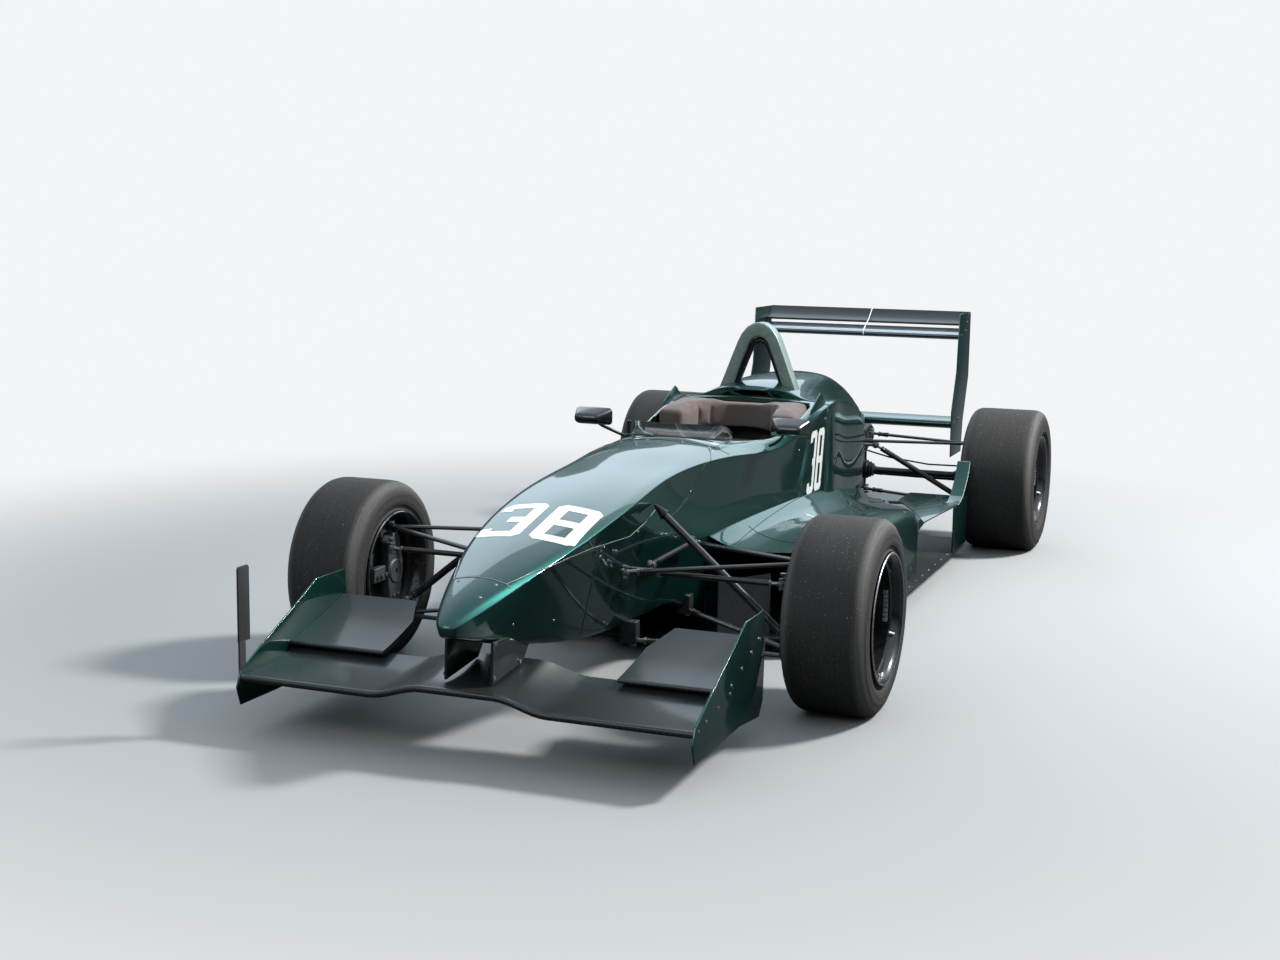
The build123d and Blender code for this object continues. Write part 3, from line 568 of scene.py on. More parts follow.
# %% Stations of the front body
GROUND_GAP = 45
FRONT_STATIONS = [
    (-930, 10, 344, 16, 358, 8, 366, 368),
    (-905, 26, 331, 36, 368, 22, 382, 387),
    (-835, 46, 311, 62, 392, 44, 412, 420),
    (-750, 60, 288, 88, 418, 66, 438, 448),
    (-647, 72, 265, 114, 449, 88, 466, 476),
    (-540, 82, 243, 139, 479, 110, 493, 503),
    (-435, 91, 222, 159, 502, 128, 516, 527),
    (-320, 101, 205, 173, 528, 140, 541, 555),
    (-201, 110, 193, 181, 550, 146, 563, 581),
    (-70, 120, 191, 183, 573, 144, 584, 600),
    (56, 130, 191, 179, 590, 136, 600, 612),
    (170, 140, 191, 178, 600, 128, 608, 620),
    (280, 150, 191, 183, 606, 116, 618, 632),
    (390, 160, 150, 195, 611, 112, 632, 644),
    (500, 185, 100, 212, 612, 120, 636, 646),
    (600, 200, GROUND_GAP, 226, 610, 134, 640, 648),
    (700, 210, GROUND_GAP, 240, 604, 160, 641, 647),
    (850, 226, GROUND_GAP, 254, 592, 206, 629, 636),
    (1000, 236, GROUND_GAP, 264, 588, 244, 625, 632),
    (1100, 241, GROUND_GAP, 273, 600, 260, 638, 645),
    (1200, 246, GROUND_GAP, 284, 619, 272, 657, 664),
    (1300, 250, GROUND_GAP, 288, 645, 272, 680, 687),
    (1369, 252, GROUND_GAP, 289, 662, 268, 688, 698),
    (1500, 258, GROUND_GAP, 291, 684, 246, 696, 710),
]
CHINE_COLUMN, FLOOR_COLUMN = 4, 7
CHINE_CREASE, FLOOR_CREASE = 0.55, 0.25


def front_section(station, shrink=0.0):
    """Half a section from the crown down the side to the middle of the bottom."""
    back, half_floor, floor, half_chine, chine, half_top, top, crown = station
    half_floor, half_chine, half_top = half_floor - shrink, half_chine - shrink, half_top - shrink
    floor, chine, top, crown = floor + shrink, chine - shrink * 0.5, top - shrink, crown - shrink
    side = Vector((half_chine - half_floor, chine - floor))
    points = [
        (0, crown), (half_top * 0.5, crown - (crown - top) * 0.28), (half_top, top),
        ((half_top + half_chine) / 2 + 1, (top + chine) / 2 + 3), (half_chine, chine),
        (half_chine - side.x * 0.08, chine - side.y * 0.08),
        (half_floor + side.x * 0.35, floor + side.y * 0.35), (half_floor, floor + 2),
        (half_floor - min(26, half_floor * 0.4), floor), (0, floor),
    ]
    return [spot(across, back, up) for across, up in points]


def between(stations, back):
    """The station at any distance, drawn straight between its neighbours."""
    for first, second in zip(stations, stations[1:]):
        if first[0] <= back <= second[0]:
            share = (back - first[0]) / (second[0] - first[0])
            return (back,) + tuple(a + (b - a) * share for a, b in zip(first[1:], second[1:]))


def make_front_body():
    form = build_cage([front_section(station) for station in FRONT_STATIONS],
                      [(CHINE_COLUMN, CHINE_CREASE), (FLOOR_COLUMN, FLOOR_CREASE)])
    ends = [edge for edge in form.edges if edge.is_boundary]
    front = [edge for edge in ends if edge.verts[0].co.y < spot(0, -900, 0).y]
    rear = [edge for edge in ends if edge not in front]
    bmesh.ops.edgeloop_fill(form, edges=front)
    weights = form.edges.layers.float["crease_edge"]
    for edge in rear:
        edge[weights] = 1.0
    bmesh.ops.edgeloop_fill(form, edges=rear)
    bmesh.ops.recalc_face_normals(form, faces=form.faces[:])
    piece = make_piece("front_body", form, "green_paint")
    subdivide(piece, 3)
    return settle(piece)


front_body = make_front_body()
print("front body faces", len(front_body.data.polygons))

# %% [markdown]
# The seams were traced on the photograph as seen from the side. Each run of a seam is scored with one cut:
# the faces between its two ends are bisected by the plane that holds the run and crosses the car.

# %% Seams of the front body
NOSE_SEAM, COVER_REAR, TUB_FRONT, TUB_REAR = -732, 600, -330, 1500
COVER_EDGE = [
    (NOSE_SEAM, 440), (-640, 458), (-500, 471), (-381, 477), (-125, 467), (-13, 488), (62, 514), (110, 498),
    (201, 473), (251, 486), (316, 514), (352, 545), (391, 587), (420, 606), (COVER_REAR, 637),
]


def score(form, place, normal, faces=None):
    """Cuts edges into the faces where a plane crosses them, and removes nothing."""
    faces = form.faces[:] if faces is None else faces
    edges = {edge for face in faces for edge in face.edges}
    verts = {vert for face in faces for vert in face.verts}
    bmesh.ops.bisect_plane(form, geom=[*faces, *edges, *verts], plane_co=place, plane_no=normal, dist=1e-6)


def score_seam(form, seam):
    for back, _ in seam:
        score(form, spot(0, back, 0), (0, 1, 0))
    for first, second in zip(seam, seam[1:]):
        start, end = spot(0, *first), spot(0, *second)
        run = end - start
        inside = [face for face in form.faces if start.y < face.calc_center_median().y < end.y]
        score(form, start, (0, -run.z, run.y), inside)


def seam_height(seam, y):
    for first, second in zip(seam, seam[1:]):
        start, end = spot(0, *first), spot(0, *second)
        if start.y <= y <= end.y:
            return start.z + (end.z - start.z) * (y - start.y) / (end.y - start.y)
    return None


def region(form, belongs):
    """A copy of the form that keeps only the faces whose middle belongs."""
    part = form.copy()
    drop_faces(part, lambda middle: not belongs(middle))
    return part


def drop_faces(form, unwanted):
    faces = [face for face in form.faces if unwanted(face.calc_center_median())]
    bmesh.ops.delete(form, geom=faces, context="FACES")


whole = bmesh.new()
whole.from_mesh(front_body.data)
score_seam(whole, COVER_EDGE)
score(whole, spot(0, TUB_FRONT, 0), (0, 1, 0))
print("scored body faces", len(whole.faces))

# %% [markdown]
# The cockpit opening is convex seen from above, so its outline can be scored with one upright plane per
# run: each plane only cuts the faces that are still inside the planes before it. Its edge is then extruded
# twice, which rolls it over into the cockpit as the real moulding does.

# %% The cockpit opening
COCKPIT_REAR, OPENING_LOW = 1455, 0.5
OPENING = [
    (0, 700), (118, 700), (140, 705), (152, 716), (160, 732), (177, 775), (202, 850), (223, 922), (238, 975),
    (248, 1025), (256, 1085), (261, 1155), (262, 1225), (261, 1290), (256, 1369), (238, 1455), (0, 1455),
]


def inside_opening(point, grow=0.0):
    """Whether a point seen from above lies within the opening's outline."""
    across = abs(point.x)
    for (x0, y0), (x1, y1) in zip(OPENING, OPENING[1:]):
        start, end = spot(x0, y0, 0), spot(x1, y1, 0)
        if (end.x - start.x) * (point.y - start.y) - (end.y - start.y) * (across - start.x) < -grow:
            return False
    return True


def near_opening(face):
    middle = face.calc_center_median()
    touching = inside_opening(middle, 0.004) or any(inside_opening(vert.co, 0.0005) for vert in face.verts)
    return touching and middle.z > OPENING_LOW


def score_opening(form):
    for hand in HANDS.values():
        for (x0, y0), (x1, y1) in zip(OPENING, OPENING[1:]):
            start, end = spot(hand * x0, y0, 0), spot(hand * x1, y1, 0)
            run = end - start
            score(form, start, (run.y, -run.x, 0), [face for face in form.faces if near_opening(face)])


def opened(point):
    return point.z > OPENING_LOW and inside_opening(point, -0.0002)


def open_edges(form, belongs):
    return [edge for edge in form.edges if edge.is_boundary and all(belongs(vert.co) for vert in edge.verts)]


def roll_in(form, edges, steps):
    """Extrudes an edge loop in steps of (inward, down) millimetres, towards the middle of the loop."""
    for inward, down in steps:
        made = bmesh.ops.extrude_edge_only(form, edges=edges)
        verts = new_items(made, bmesh.types.BMVert)
        middle = sum((vert.co for vert in verts), Vector()) / len(verts)
        for vert in verts:
            level = Vector((middle.x - vert.co.x, middle.y - vert.co.y, 0)).normalized()
            vert.co += level * inward / 1000 - Vector((0, 0, down / 1000))
        edges = new_items(made, bmesh.types.BMEdge)


score_opening(whole)
print("with the opening", len(whole.faces))

# %% Panels of the front body
SKIN = 0.004


def over_cover(point):
    height = seam_height(COVER_EDGE, point.y)
    return height is not None and point.z > height


def in_nose(point):
    return point.y < spot(0, TUB_FRONT, 0).y and not over_cover(point)


def in_tub(point):
    return point.y > spot(0, TUB_FRONT, 0).y and not over_cover(point) and not opened(point)


def on_lip(point):
    return point.z > OPENING_LOW and inside_opening(point, 0.0006) and point.y > spot(0, 690, 0).y


cover_form, nose_form, tub_form = region(whole, over_cover), region(whole, in_nose), region(whole, in_tub)
whole.free()
roll_in(tub_form, open_edges(tub_form, on_lip), [(-1, 2), (-1, 6), (0, 26)])
front_cover = make_piece("front_cover_skin", cover_form, "green_paint", stands_for=["front_cover"])
nose_cone = make_piece("nose_cone_skin", nose_form, "green_paint", stands_for=["nose_cone"])
tub = make_piece("tub_skin", tub_form, "green_paint", stands_for=["monocoque"])
for panel in (front_cover, nose_cone, tub):
    thicken(panel, SKIN)
    settle(panel)
    print(panel.name, "faces", len(panel.data.polygons))
bpy.data.objects.remove(front_body)

# %% [markdown]
# Inside, the tub is bare carbon. Its lining is the same set of sections drawn smaller, with the same
# opening in the top, so the cockpit and the leg room are really hollow.

# %% The tub's lining
TUB_WALL = 24
LINING_FRONT, LINING_REAR = 150, 1472


def make_lining():
    stations = [between(FRONT_STATIONS, LINING_FRONT)]
    stations += [station for station in FRONT_STATIONS if LINING_FRONT < station[0] < LINING_REAR]
    stations += [between(FRONT_STATIONS, LINING_REAR)]
    form = build_cage([front_section(station, TUB_WALL) for station in stations])
    for furthest in (min, max):
        limit = furthest(vert.co.y for vert in form.verts)
        bmesh.ops.edgeloop_fill(form, edges=open_edges(form, lambda point: abs(point.y - limit) < 1e-5))
    score_opening(form)
    drop_faces(form, opened)
    return make_piece("tub_lining", form, "carbon_weave")


lining = make_lining()
print("lining faces", len(lining.data.polygons))

# %% [markdown]
# The engine cover has a tall round spine behind the roll hoop and a lower shoulder on each side that drops
# away in front of the rear suspension. A single cage again gives it one flowing skin, open underneath. Each
# row is how far back it stands, then half width and height of the lower edge, the shoulder, the hollow
# above it and the spine, then the height of the crown.

# %% Engine cover
REAR_STATIONS = [
    (1502, 284, 300, 290, 685, 226, 698, 142, 728, 742),
    (1560, 288, 300, 290, 690, 216, 694, 134, 738, 754),
    (1640, 290, 300, 287, 692, 206, 690, 128, 746, 762),
    (1827, 268, 300, 248, 674, 188, 660, 122, 750, 766),
    (2005, 256, 300, 240, 655, 176, 636, 118, 744, 760),
    (2142, 248, 300, 236, 616, 170, 598, 116, 732, 750),
    (2277, 232, 300, 228, 535, 162, 540, 110, 708, 728),
    (2400, 205, 300, 212, 458, 152, 488, 104, 680, 702),
    (2640, 130, 420, 140, 448, 112, 470, 86, 618, 638),
    (2898, 62, 470, 82, 486, 68, 500, 48, 538, 550),
]
SHOULDER_COLUMN, SHOULDER_CREASE = 6, 0.35


def rear_section(station):
    """Half a section: spine, hollow beside it, shoulder and side."""
    back, half_low, low, half_shoulder, shoulder, half_hollow, hollow, half_spine, spine, crown = station
    side = Vector((half_shoulder - half_low, shoulder - low))
    points = [
        (0, crown), (half_spine * 0.55, crown - (crown - spine) * 0.3), (half_spine, spine),
        (half_spine + (half_hollow - half_spine) * 0.45, spine + (hollow - spine) * 0.62),
        (half_hollow, hollow),
        (half_hollow + (half_shoulder - half_hollow) * 0.55, (hollow + shoulder) / 2 + 5),
        (half_shoulder, shoulder), (half_shoulder - side.x * 0.1 + 2, shoulder - side.y * 0.1),
        (half_low + side.x * 0.4, low + side.y * 0.4), (half_low, low),
    ]
    return [spot(across, back, up) for across, up in points]


def make_engine_cover():
    sections = [rear_section(station) for station in REAR_STATIONS]
    form = build_cage(sections, [(SHOULDER_COLUMN, SHOULDER_CREASE)])
    front = open_edges(form, lambda point: point.y < spot(0, REAR_STATIONS[0][0] + 8, 0).y)
    roll_in(form, front, [(14, -0.5), (30, 12)])
    piece = make_piece("engine_cover_skin", form, "green_paint", stands_for=["engine_cover"])
    subdivide(piece, 3)
    thicken(piece, 0.005)
    return settle(piece)


engine_cover = make_engine_cover()
print("engine cover faces", len(engine_cover.data.polygons))

# %% [markdown]
# Each sidepod is a hollow duct. Its top sweeps up in a hollow curve to meet the tub, its outer edge is
# round, and the mouth is cut at a slant, with its edge rolled inwards. Each row is how far back it stands,
# its half width, its top and the height where it meets the tub.

# %% Sidepods
POD_FLOOR, POD_GAP, MEETING_COLUMN, LOW_COLUMN = 66, 1.5, 2, 10
POD_STATIONS = [
    (470, 584, 321, 371), (640, 592, 328, 386), (850, 600, 331, 392), (1200, 600, 328, 392),
    (1500, 600, 315, 376), (1717, 596, 292, 352), (1900, 520, 272, 322), (2150, 400, 240, 290),
    (2380, 340, 214, 250),
]
POD_CORNER = 46
MOUTH = [(230, 484), (700, 640)]


def tub_half_width(back, up):
    stations = FRONT_STATIONS if back <= TUB_REAR else REAR_STATIONS
    back = back if back <= TUB_REAR else max(back, REAR_STATIONS[0][0])
    _, half_floor, floor, half_chine, chine = between(stations, back)[:5]
    return half_floor + (half_chine - half_floor) * max(up - floor, 0) / (chine - floor)


def cut_away(form, place, normal):
    """Cuts a form by a plane and removes what lies behind it."""
    bmesh.ops.bisect_plane(form, geom=everything(form), plane_co=place, plane_no=normal, dist=1e-6,
                           clear_inner=True)


def pod_section(station):
    back, half, top, meet = station
    inner = tub_half_width(back, meet) + POD_GAP
    inner_low = tub_half_width(back, POD_FLOOR) + POD_GAP
    middle = inner + (half - POD_CORNER - inner) * 0.5
    points = [
        (inner_low, POD_FLOOR), (inner + (inner_low - inner) * 0.4, POD_FLOOR + 150), (inner, meet),
        (inner + (middle - inner) * 0.3, top + (meet - top) * 0.42),
        (inner + (middle - inner) * 0.65, top + (meet - top) * 0.1), (middle, top), (half - POD_CORNER, top),
        (half - POD_CORNER * 0.3, top - POD_CORNER * 0.3), (half, top - POD_CORNER), (half, top - 130),
        (half, POD_FLOOR + 12), (half - 6, POD_FLOOR),
    ]
    return [spot(across, back, up) for across, up in points]


def make_pod(side, hand):
    sections = [pod_section(station) for station in POD_STATIONS]
    form = build_cage(sections, [(MEETING_COLUMN, 1.0), (LOW_COLUMN, 0.6)], mirrored=False)
    bmesh.ops.subdivide_edges(form, edges=form.edges[:], cuts=1, use_grid_fill=True, smooth=0.0)
    piece = make_piece(f"sidepod_{side}_skin", form, "green_paint", stands_for=[f"sidepod_{side}"])
    subdivide(piece, 2)
    settle(piece)
    form = bmesh.new()
    form.from_mesh(piece.data)
    start, end = (spot(across, back, 0) for across, back in MOUTH)
    slant = Vector((start.y - end.y, end.x - start.x, 0))
    cut_away(form, start, slant)
    mouth = open_edges(form, lambda point: abs((point - start).dot(slant)) < 1e-5)
    inner = new_items(bmesh.ops.extrude_edge_only(form, edges=mouth), bmesh.types.BMVert)
    middle = sum((vert.co for vert in inner), Vector()) / len(inner)
    for vert in inner:
        inward = Vector((middle.x - vert.co.x, 0, middle.z - vert.co.z)).normalized()
        vert.co += inward * 0.012 + Vector((0, 0.06, 0))
    bmesh.ops.recalc_face_normals(form, faces=form.faces[:])
    turned_over(form, hand).to_mesh(piece.data)
    form.free()
    thicken(piece, 0.004)
    return settle(piece)


pods = [make_pod(side, hand) for side, hand in HANDS.items()]
print("pod faces", [len(pod.data.polygons) for pod in pods])

# %% [markdown]
# A slick tyre is a solid of revolution, so half its section is drawn as a few points and spun about the
# axle. The rubber's wall, shoulder and tread meet in soft rounds. The same spin makes the rim, the disc and
# every other turned part of the car.

# %% Turned pieces
AXLE_HEIGHT = {"front": 275, "rear": 290}
FRONT_WHEEL = {"axle": (760, 0, AXLE_HEIGHT["front"]), "radius": 275, "width": 240, "rim": 244, "disc": -56}
REAR_WHEEL = {"axle": (745, 2675, AXLE_HEIGHT["rear"]), "radius": 290, "width": 300, "rim": 278, "disc": -63}
REAR_AXLE = (0, *REAR_WHEEL["axle"][1:])


def closed_loop(form, points):
    """New verts at a ring of points, and the edges between them."""
    ring = [form.verts.new(point) for point in points]
    return ring, [form.edges.new((ring[place - 1], ring[place])) for place in range(len(ring))]


def spun(points, axis, steps):
    """Spins a closed line of points once about an axis through the origin."""
    form = bmesh.new()
    ring, edges = closed_loop(form, points)
    bmesh.ops.spin(form, geom=ring + edges, cent=(0, 0, 0), axis=axis, angle=math.tau, steps=steps,
                   use_merge=True)
    return form


def turn(profile, steps=64):
    """Spins a closed profile of (across, radius) points in millimetres about the X axis."""
    form = spun([(across / 1000, 0, radius / 1000) for across, radius in profile], (1, 0, 0), steps)
    bmesh.ops.remove_doubles(form, verts=form.verts[:], dist=1e-6)
    bmesh.ops.recalc_face_normals(form, faces=form.faces[:])
    return form


def cone(radius, tip, depth, segments):
    form = bmesh.new()
    bmesh.ops.create_cone(form, cap_ends=True, segments=segments, radius1=radius, radius2=tip, depth=depth)
    return form


def wheel_piece(name, form, slot, corner, stands_for=(), sharp=SHARP_ANGLE):
    """Seats a form on its axle, plus X of the form pointing away from the car, and makes the piece."""
    wheel, hand = WHEELS[corner]
    if hand < 0:
        rotate(form, 180, "Z")
    across, back, up = wheel["axle"]
    move(form, spot(hand * across, back, up))
    return make_piece(name, form, slot, f"wheel_{corner}", stands_for, sharp)


WHEELS = {f"{end}_{side}": (wheel, hand) for end, wheel in (("front", FRONT_WHEEL), ("rear", REAR_WHEEL))
          for side, hand in HANDS.items()}

# %% Tyres
SCUFFED_SHOULDER, TREAD_STREAK, GRIT = (0.150, 0.139, 0.128), (0.046, 0.042, 0.039), (0.20, 0.19, 0.175)
GRIT_ABOVE, GRIT_SHARE, STREAK_ABOVE = 0.735, 0.6, 0.42


def tyre_profile(wheel):
    half, radius = wheel["width"] / 2, wheel["radius"]
    bead = wheel["rim"] / 2 - 16
    outside = [
        (0, radius), (half - 62, radius), (half - 40, radius - 1), (half - 26, radius - 5),
        (half - 15, radius - 13), (half - 8, radius - 24), (half - 3, radius - 38), (half - 1.6, radius - 41),
        (half - 2.2, radius - 45), (half - 0.4, radius - 56), (half, radius - 66), (half - 2.5, 205),
        (half - 2.6, 203), (half - 5.4, 201), (half - 9, 192), (bead + 9, 186), (bead + 2, 181), (bead, 172),
        (bead - 12, 170.5),
    ]
    return outside + [(-across, up) for across, up in reversed(outside[1:])]


def worn_rubber(name, wheel):
    """Slick rubber: streaked tread, a pale scuffed band round the shoulder, a darker wall, and some grit."""
    material = finish(name, (0.010, 0.0090, 0.0083), (0.030, 0.0265, 0.0240), speckled(150, 3),
                      rough=(0.70, 0.88), bump=0.5, bump_size=0.0006)
    tree = material.node_tree
    base = tree.nodes["Principled BSDF"].inputs["Base Color"]
    colour = base.links[0].from_socket
    axle, radius = spot(*wheel["axle"]), wheel["radius"] / 1000
    place = add_node(tree, "TexCoord").outputs["Object"]
    centred = add_node(tree, "Mapping", Vector=place, Location=(0, -axle.y, -axle.z)).outputs["Vector"]
    apart = add_node(tree, "SeparateXYZ", Vector=centred).outputs
    squares = [math_node(tree, "POWER", apart[letter], 2.0) for letter in "YZ"]
    reach = math_node(tree, "SQRT", math_node(tree, "ADD", *squares))
    edge = map_range(tree, reach, radius - 0.034, radius - 0.014)
    crown = map_range(tree, reach, radius - 0.0015, radius - 0.007)
    drawn_out = add_node(tree, "Mapping", Vector=centred, Scale=(260, 7, 7)).outputs["Vector"]
    streak = add_node(tree, "TexNoise", Vector=drawn_out, Scale=1.0, Detail=5.0).outputs["Fac"]
    grit = add_node(tree, "TexNoise", Vector=centred, Scale=170.0, Detail=1.0).outputs["Fac"]
    band = math_node(tree, "MULTIPLY", math_node(tree, "MULTIPLY", edge, crown), streak)
    tread = math_node(tree, "MULTIPLY", math_node(tree, "SUBTRACT", streak, STREAK_ABOVE), edge, clamp=True)
    specks = math_node(tree, "MULTIPLY", math_node(tree, "GREATER_THAN", grit, GRIT_ABOVE), edge)
    specks = math_node(tree, "MULTIPLY", specks, GRIT_SHARE)
    for mask, shade in ((band, SCUFFED_SHOULDER), (tread, TREAD_STREAK), (specks, GRIT)):
        colour = mix_colours(tree, mask, colour, shade)
    tree.links.new(colour, base)
    return material


FRONT_WHEEL["rubber"] = worn_rubber("worn_rubber_front", FRONT_WHEEL)
REAR_WHEEL["rubber"] = worn_rubber("worn_rubber_rear", REAR_WHEEL)
for corner, (wheel, _) in WHEELS.items():
    form = turn(tyre_profile(wheel), 96)
    tyre = wheel_piece(f"tyre_{corner}_rubber", form, "slick_rubber", corner, [f"tyre_{corner}"], sharp=50)
    tyre.data.materials[0] = wheel["rubber"]
    print(tyre.name, "faces", len(tyre.data.polygons))

# %% [markdown]
# The rims are deep dished castings in gloss black. The outer lip has a bright turned edge, then a step, and
# the well drops away to a centre with eight slim spokes, a hub and its nuts. Each spoke is one bar, tapered
# and dished. Behind the centre sit the brake disc and its bell.

# %% Rims, discs and bells
RIM_LIP, SPOKES, HUB_NUTS = 184, 8, 4
SPOKE_ROOT, SPOKE_REACH, SPOKE_THICK = 0.050, 0.092, 0.014
SPOKE_WIDE, SPOKE_WAIST, SPOKE_DISH = 0.034, 0.012, 0.008
CENTRE_PROFILES = [
    [(6, 20), (10, 24), (10, 48), (4, 56), (-6, 58), (-8, 20)],
    [(-2, 134), (2, 137), (2, 151), (-8, 155), (-14, 152), (-12, 134)],
    [(14, 8), (30, 12), (31, 19), (28, 22), (8, 24), (8, 8)],
]


def barrel_profile(half):
    return [
        (half - 0.5, RIM_LIP - 1), (half, RIM_LIP - 4), (half - 1, 178), (half - 8, 171), (half - 14, 166.5),
        (half - 30, 163.5), (half - 34, 158), (half - 60, 157), (-10, 152), (-half + 40, 155),
        (-half + 14, 164), (-half + 1, 177), (-half, RIM_LIP - 3), (-half + 3, RIM_LIP),
        (-half + 7, RIM_LIP - 2), (-half + 13, 172), (-half + 15, 168.5),
        (-half + 36, 166), (-half + 50, 161), (half - 52, 161), (half - 24, 167),
        (half - 15, 168.5), (half - 13, 172), (half - 7, RIM_LIP - 2), (half - 3, RIM_LIP),
    ]


def lip_profile(half):
    """The bright turned edge and the lighter step inside it."""
    return [(half + 0.3, RIM_LIP - 1), (half + 0.6, RIM_LIP - 3), (half + 0.2, RIM_LIP - 5.5),
            (half - 1, RIM_LIP - 5), (half - 2, RIM_LIP)]


def disc_profile(at):
    return [(at - 6, 78), (at - 6, 134), (at - 5, 136), (at - 2, 136), (at - 2, 80), (at + 2, 80),
            (at + 2, 136), (at + 5, 136), (at + 6, 134), (at + 6, 78)]


def bell_profile(at):
    return [(at - 7, 30), (at - 7, 76), (at - 4, 80), (at + 8, 80), (at + 10, 62), (-16, 58), (-16, 30)]


def make_spoke():
    form = bmesh.new()
    bmesh.ops.create_cube(form, size=1.0)
    upright = [edge for edge in form.edges if abs(edge.verts[0].co.z - edge.verts[1].co.z) > 0.5]
    bmesh.ops.subdivide_edges(form, edges=upright, cuts=4, use_grid_fill=True)
    for vert in form.verts:
        along_it = vert.co.z + 0.5
        wide = SPOKE_WIDE - SPOKE_WAIST * math.sin(math.pi * min(along_it * 1.25, 1.0))
        dish = SPOKE_DISH * math.sin(math.pi * along_it) - 0.001 - 0.006 * along_it
        vert.co = (vert.co.x * SPOKE_THICK + dish, vert.co.y * wide, SPOKE_ROOT + SPOKE_REACH * along_it)
    return round_edges(form, 0.0022)


def make_centre():
    form = merge_into(bmesh.new(), *[turn(profile) for profile in CENTRE_PROFILES])
    for place in range(SPOKES):
        merge_into(form, rotate(make_spoke(), 360 * place / SPOKES, "X"))
    for place in range(HUB_NUTS):
        stud = move(rotate(cone(0.0095, 0.0085, 0.014, 6), 90, "Y"), (0.016, 0, 0.039))
        merge_into(form, rotate(stud, 360 * (place + 0.5) / HUB_NUTS, "X"))
    return move(form, (-0.008, 0, 0))


def make_valve(half, hand):
    stem = move(rotate(cone(0.0042, 0.0032, 0.018, 12), 55, "Y"), ((half - 22) / 1000, 0, 0.152))
    return rotate(stem, -118 * hand, "X")


def make_weights(half, hand):
    """A row of stick-on balance weights in the well."""
    form = bmesh.new()
    for place in range(7):
        weight = move(block((0.014, 0.0115, 0.003), 0.0008), ((half - 46) / 1000, 0, 0.1545))
        merge_into(form, rotate(weight, (-74 - 5 * place) * hand, "X"))
    return form


for corner, (wheel, hand) in WHEELS.items():
    node, half, disc_at = f"rim_{corner}", wheel["rim"] / 2, wheel["disc"]
    wheel_piece(f"{node}_barrel", turn(barrel_profile(half), 96), "black_rim", corner, [node], sharp=30)
    wheel_piece(f"{node}_centre", make_centre(), "black_rim", corner, sharp=30)
    wheel_piece(f"{node}_edge", turn(lip_profile(half), 96), "bright_edge", corner, sharp=60)
    wheel_piece(f"{node}_disc", turn(disc_profile(disc_at), 72), "disc_iron", corner, sharp=40)
    wheel_piece(f"{node}_bell", turn(bell_profile(disc_at)), "cast_magnesium", corner, sharp=40)
    wheel_piece(f"{node}_valve", make_valve(half, hand), "white_plastic", corner)
    wheel_piece(f"{node}_weights", make_weights(half, hand), "wheel_weight", corner)
print("wheels dressed", len(WHEELS))

# %% [markdown]
# The pushrod double wishbone suspension, with its steering link, is the part that moves and the part a
# racing mechanic looks at first. Each arm is a streamlined tube that runs into a rod end: a threaded shank,
# a lock nut, an eye and the bolt through it. All of them come from the same few helpers and a table of
# their two ends.

# %% Bars, arms and rod ends
UP, ALONG_CAR, ACROSS_CAR = Vector((0, 0, 1)), Vector((0, 1, 0)), Vector((1, 0, 0))


def spots(points, hand=1):
    return [spot(hand * across, back, up) for across, back, up in points]


def along(start, end):
    """Turns the Z axis to the run from start to end, with X kept as near to the car's length as it can be."""
    run = (end - start).normalized()
    back = ALONG_CAR - run * run.y
    if back.length < 0.05:
        back = ACROSS_CAR - run * run.x
    back.normalize()
    turn_to = Matrix((back, run.cross(back), run)).transposed().to_4x4()
    return Matrix.Translation((start + end) / 2) @ turn_to


def facing(place, axis):
    """Turns the Z axis to face along an axis at a place."""
    return Matrix.Translation(place) @ Vector(axis).to_track_quat("Z", "Y").to_matrix().to_4x4()


def bar(start, end, wide, deep=None, segments=20, tip=0.0):
    """A round or oval bar. wide and deep are half sizes in metres, and tip narrows its far end."""
    form = cone(1.0, 1.0 - tip, (end - start).length, segments)
    bmesh.ops.scale(form, vec=(wide, wide if deep is None else deep, 1), verts=form.verts[:])
    return set_by(form, along(start, end))


def pipe(points, radius, segments, ball=None):
    """Round bars from point to point. ball gives the segments of a ball that fills each bend."""
    form = bmesh.new()
    for first, last in zip(points, points[1:]):
        if (last - first).length > 1e-4:
            merge_into(form, bar(first, last, radius, segments=segments))
    for point in points[1:-1] if ball else ():
        knee = bmesh.new()
        bmesh.ops.create_uvsphere(knee, u_segments=ball[0], v_segments=ball[1], radius=radius)
        merge_into(form, move(knee, point))
    return form


def nut(place, axis, radius, thick):
    """A hexagon nut or bolt head with a bevelled face."""
    form = cone(radius, radius, thick, 6)
    rims = [edge for edge in form.edges if abs(edge.verts[0].co.z - edge.verts[1].co.z) < 1e-6]
    return set_by(round_edges(form, radius * 0.12, 2, rims), facing(place, axis))


def nuts_at(across, places, radius, thick):
    """Nuts that face across the car, at a list of (back, up) places."""
    nuts = [nut(spot(across, back, up), ACROSS_CAR, radius, thick) for back, up in places]
    return merge_into(bmesh.new(), *nuts)


def eye(place, axis, outer, inner, thick):
    """The eye of a rod end, spun as a round ring about the bolt's axis."""
    half, shoulder = thick / 2, inner + (outer - inner) * 0.35
    profile = [(inner, -half * 0.7), (shoulder, -half), (outer * 0.9, -half * 0.85), (outer, 0),
               (outer * 0.9, half * 0.85), (shoulder, half), (inner, half * 0.7)]
    return set_by(spun([(radius, 0, up) for radius, up in profile], (0, 0, 1), 24), facing(place, axis))


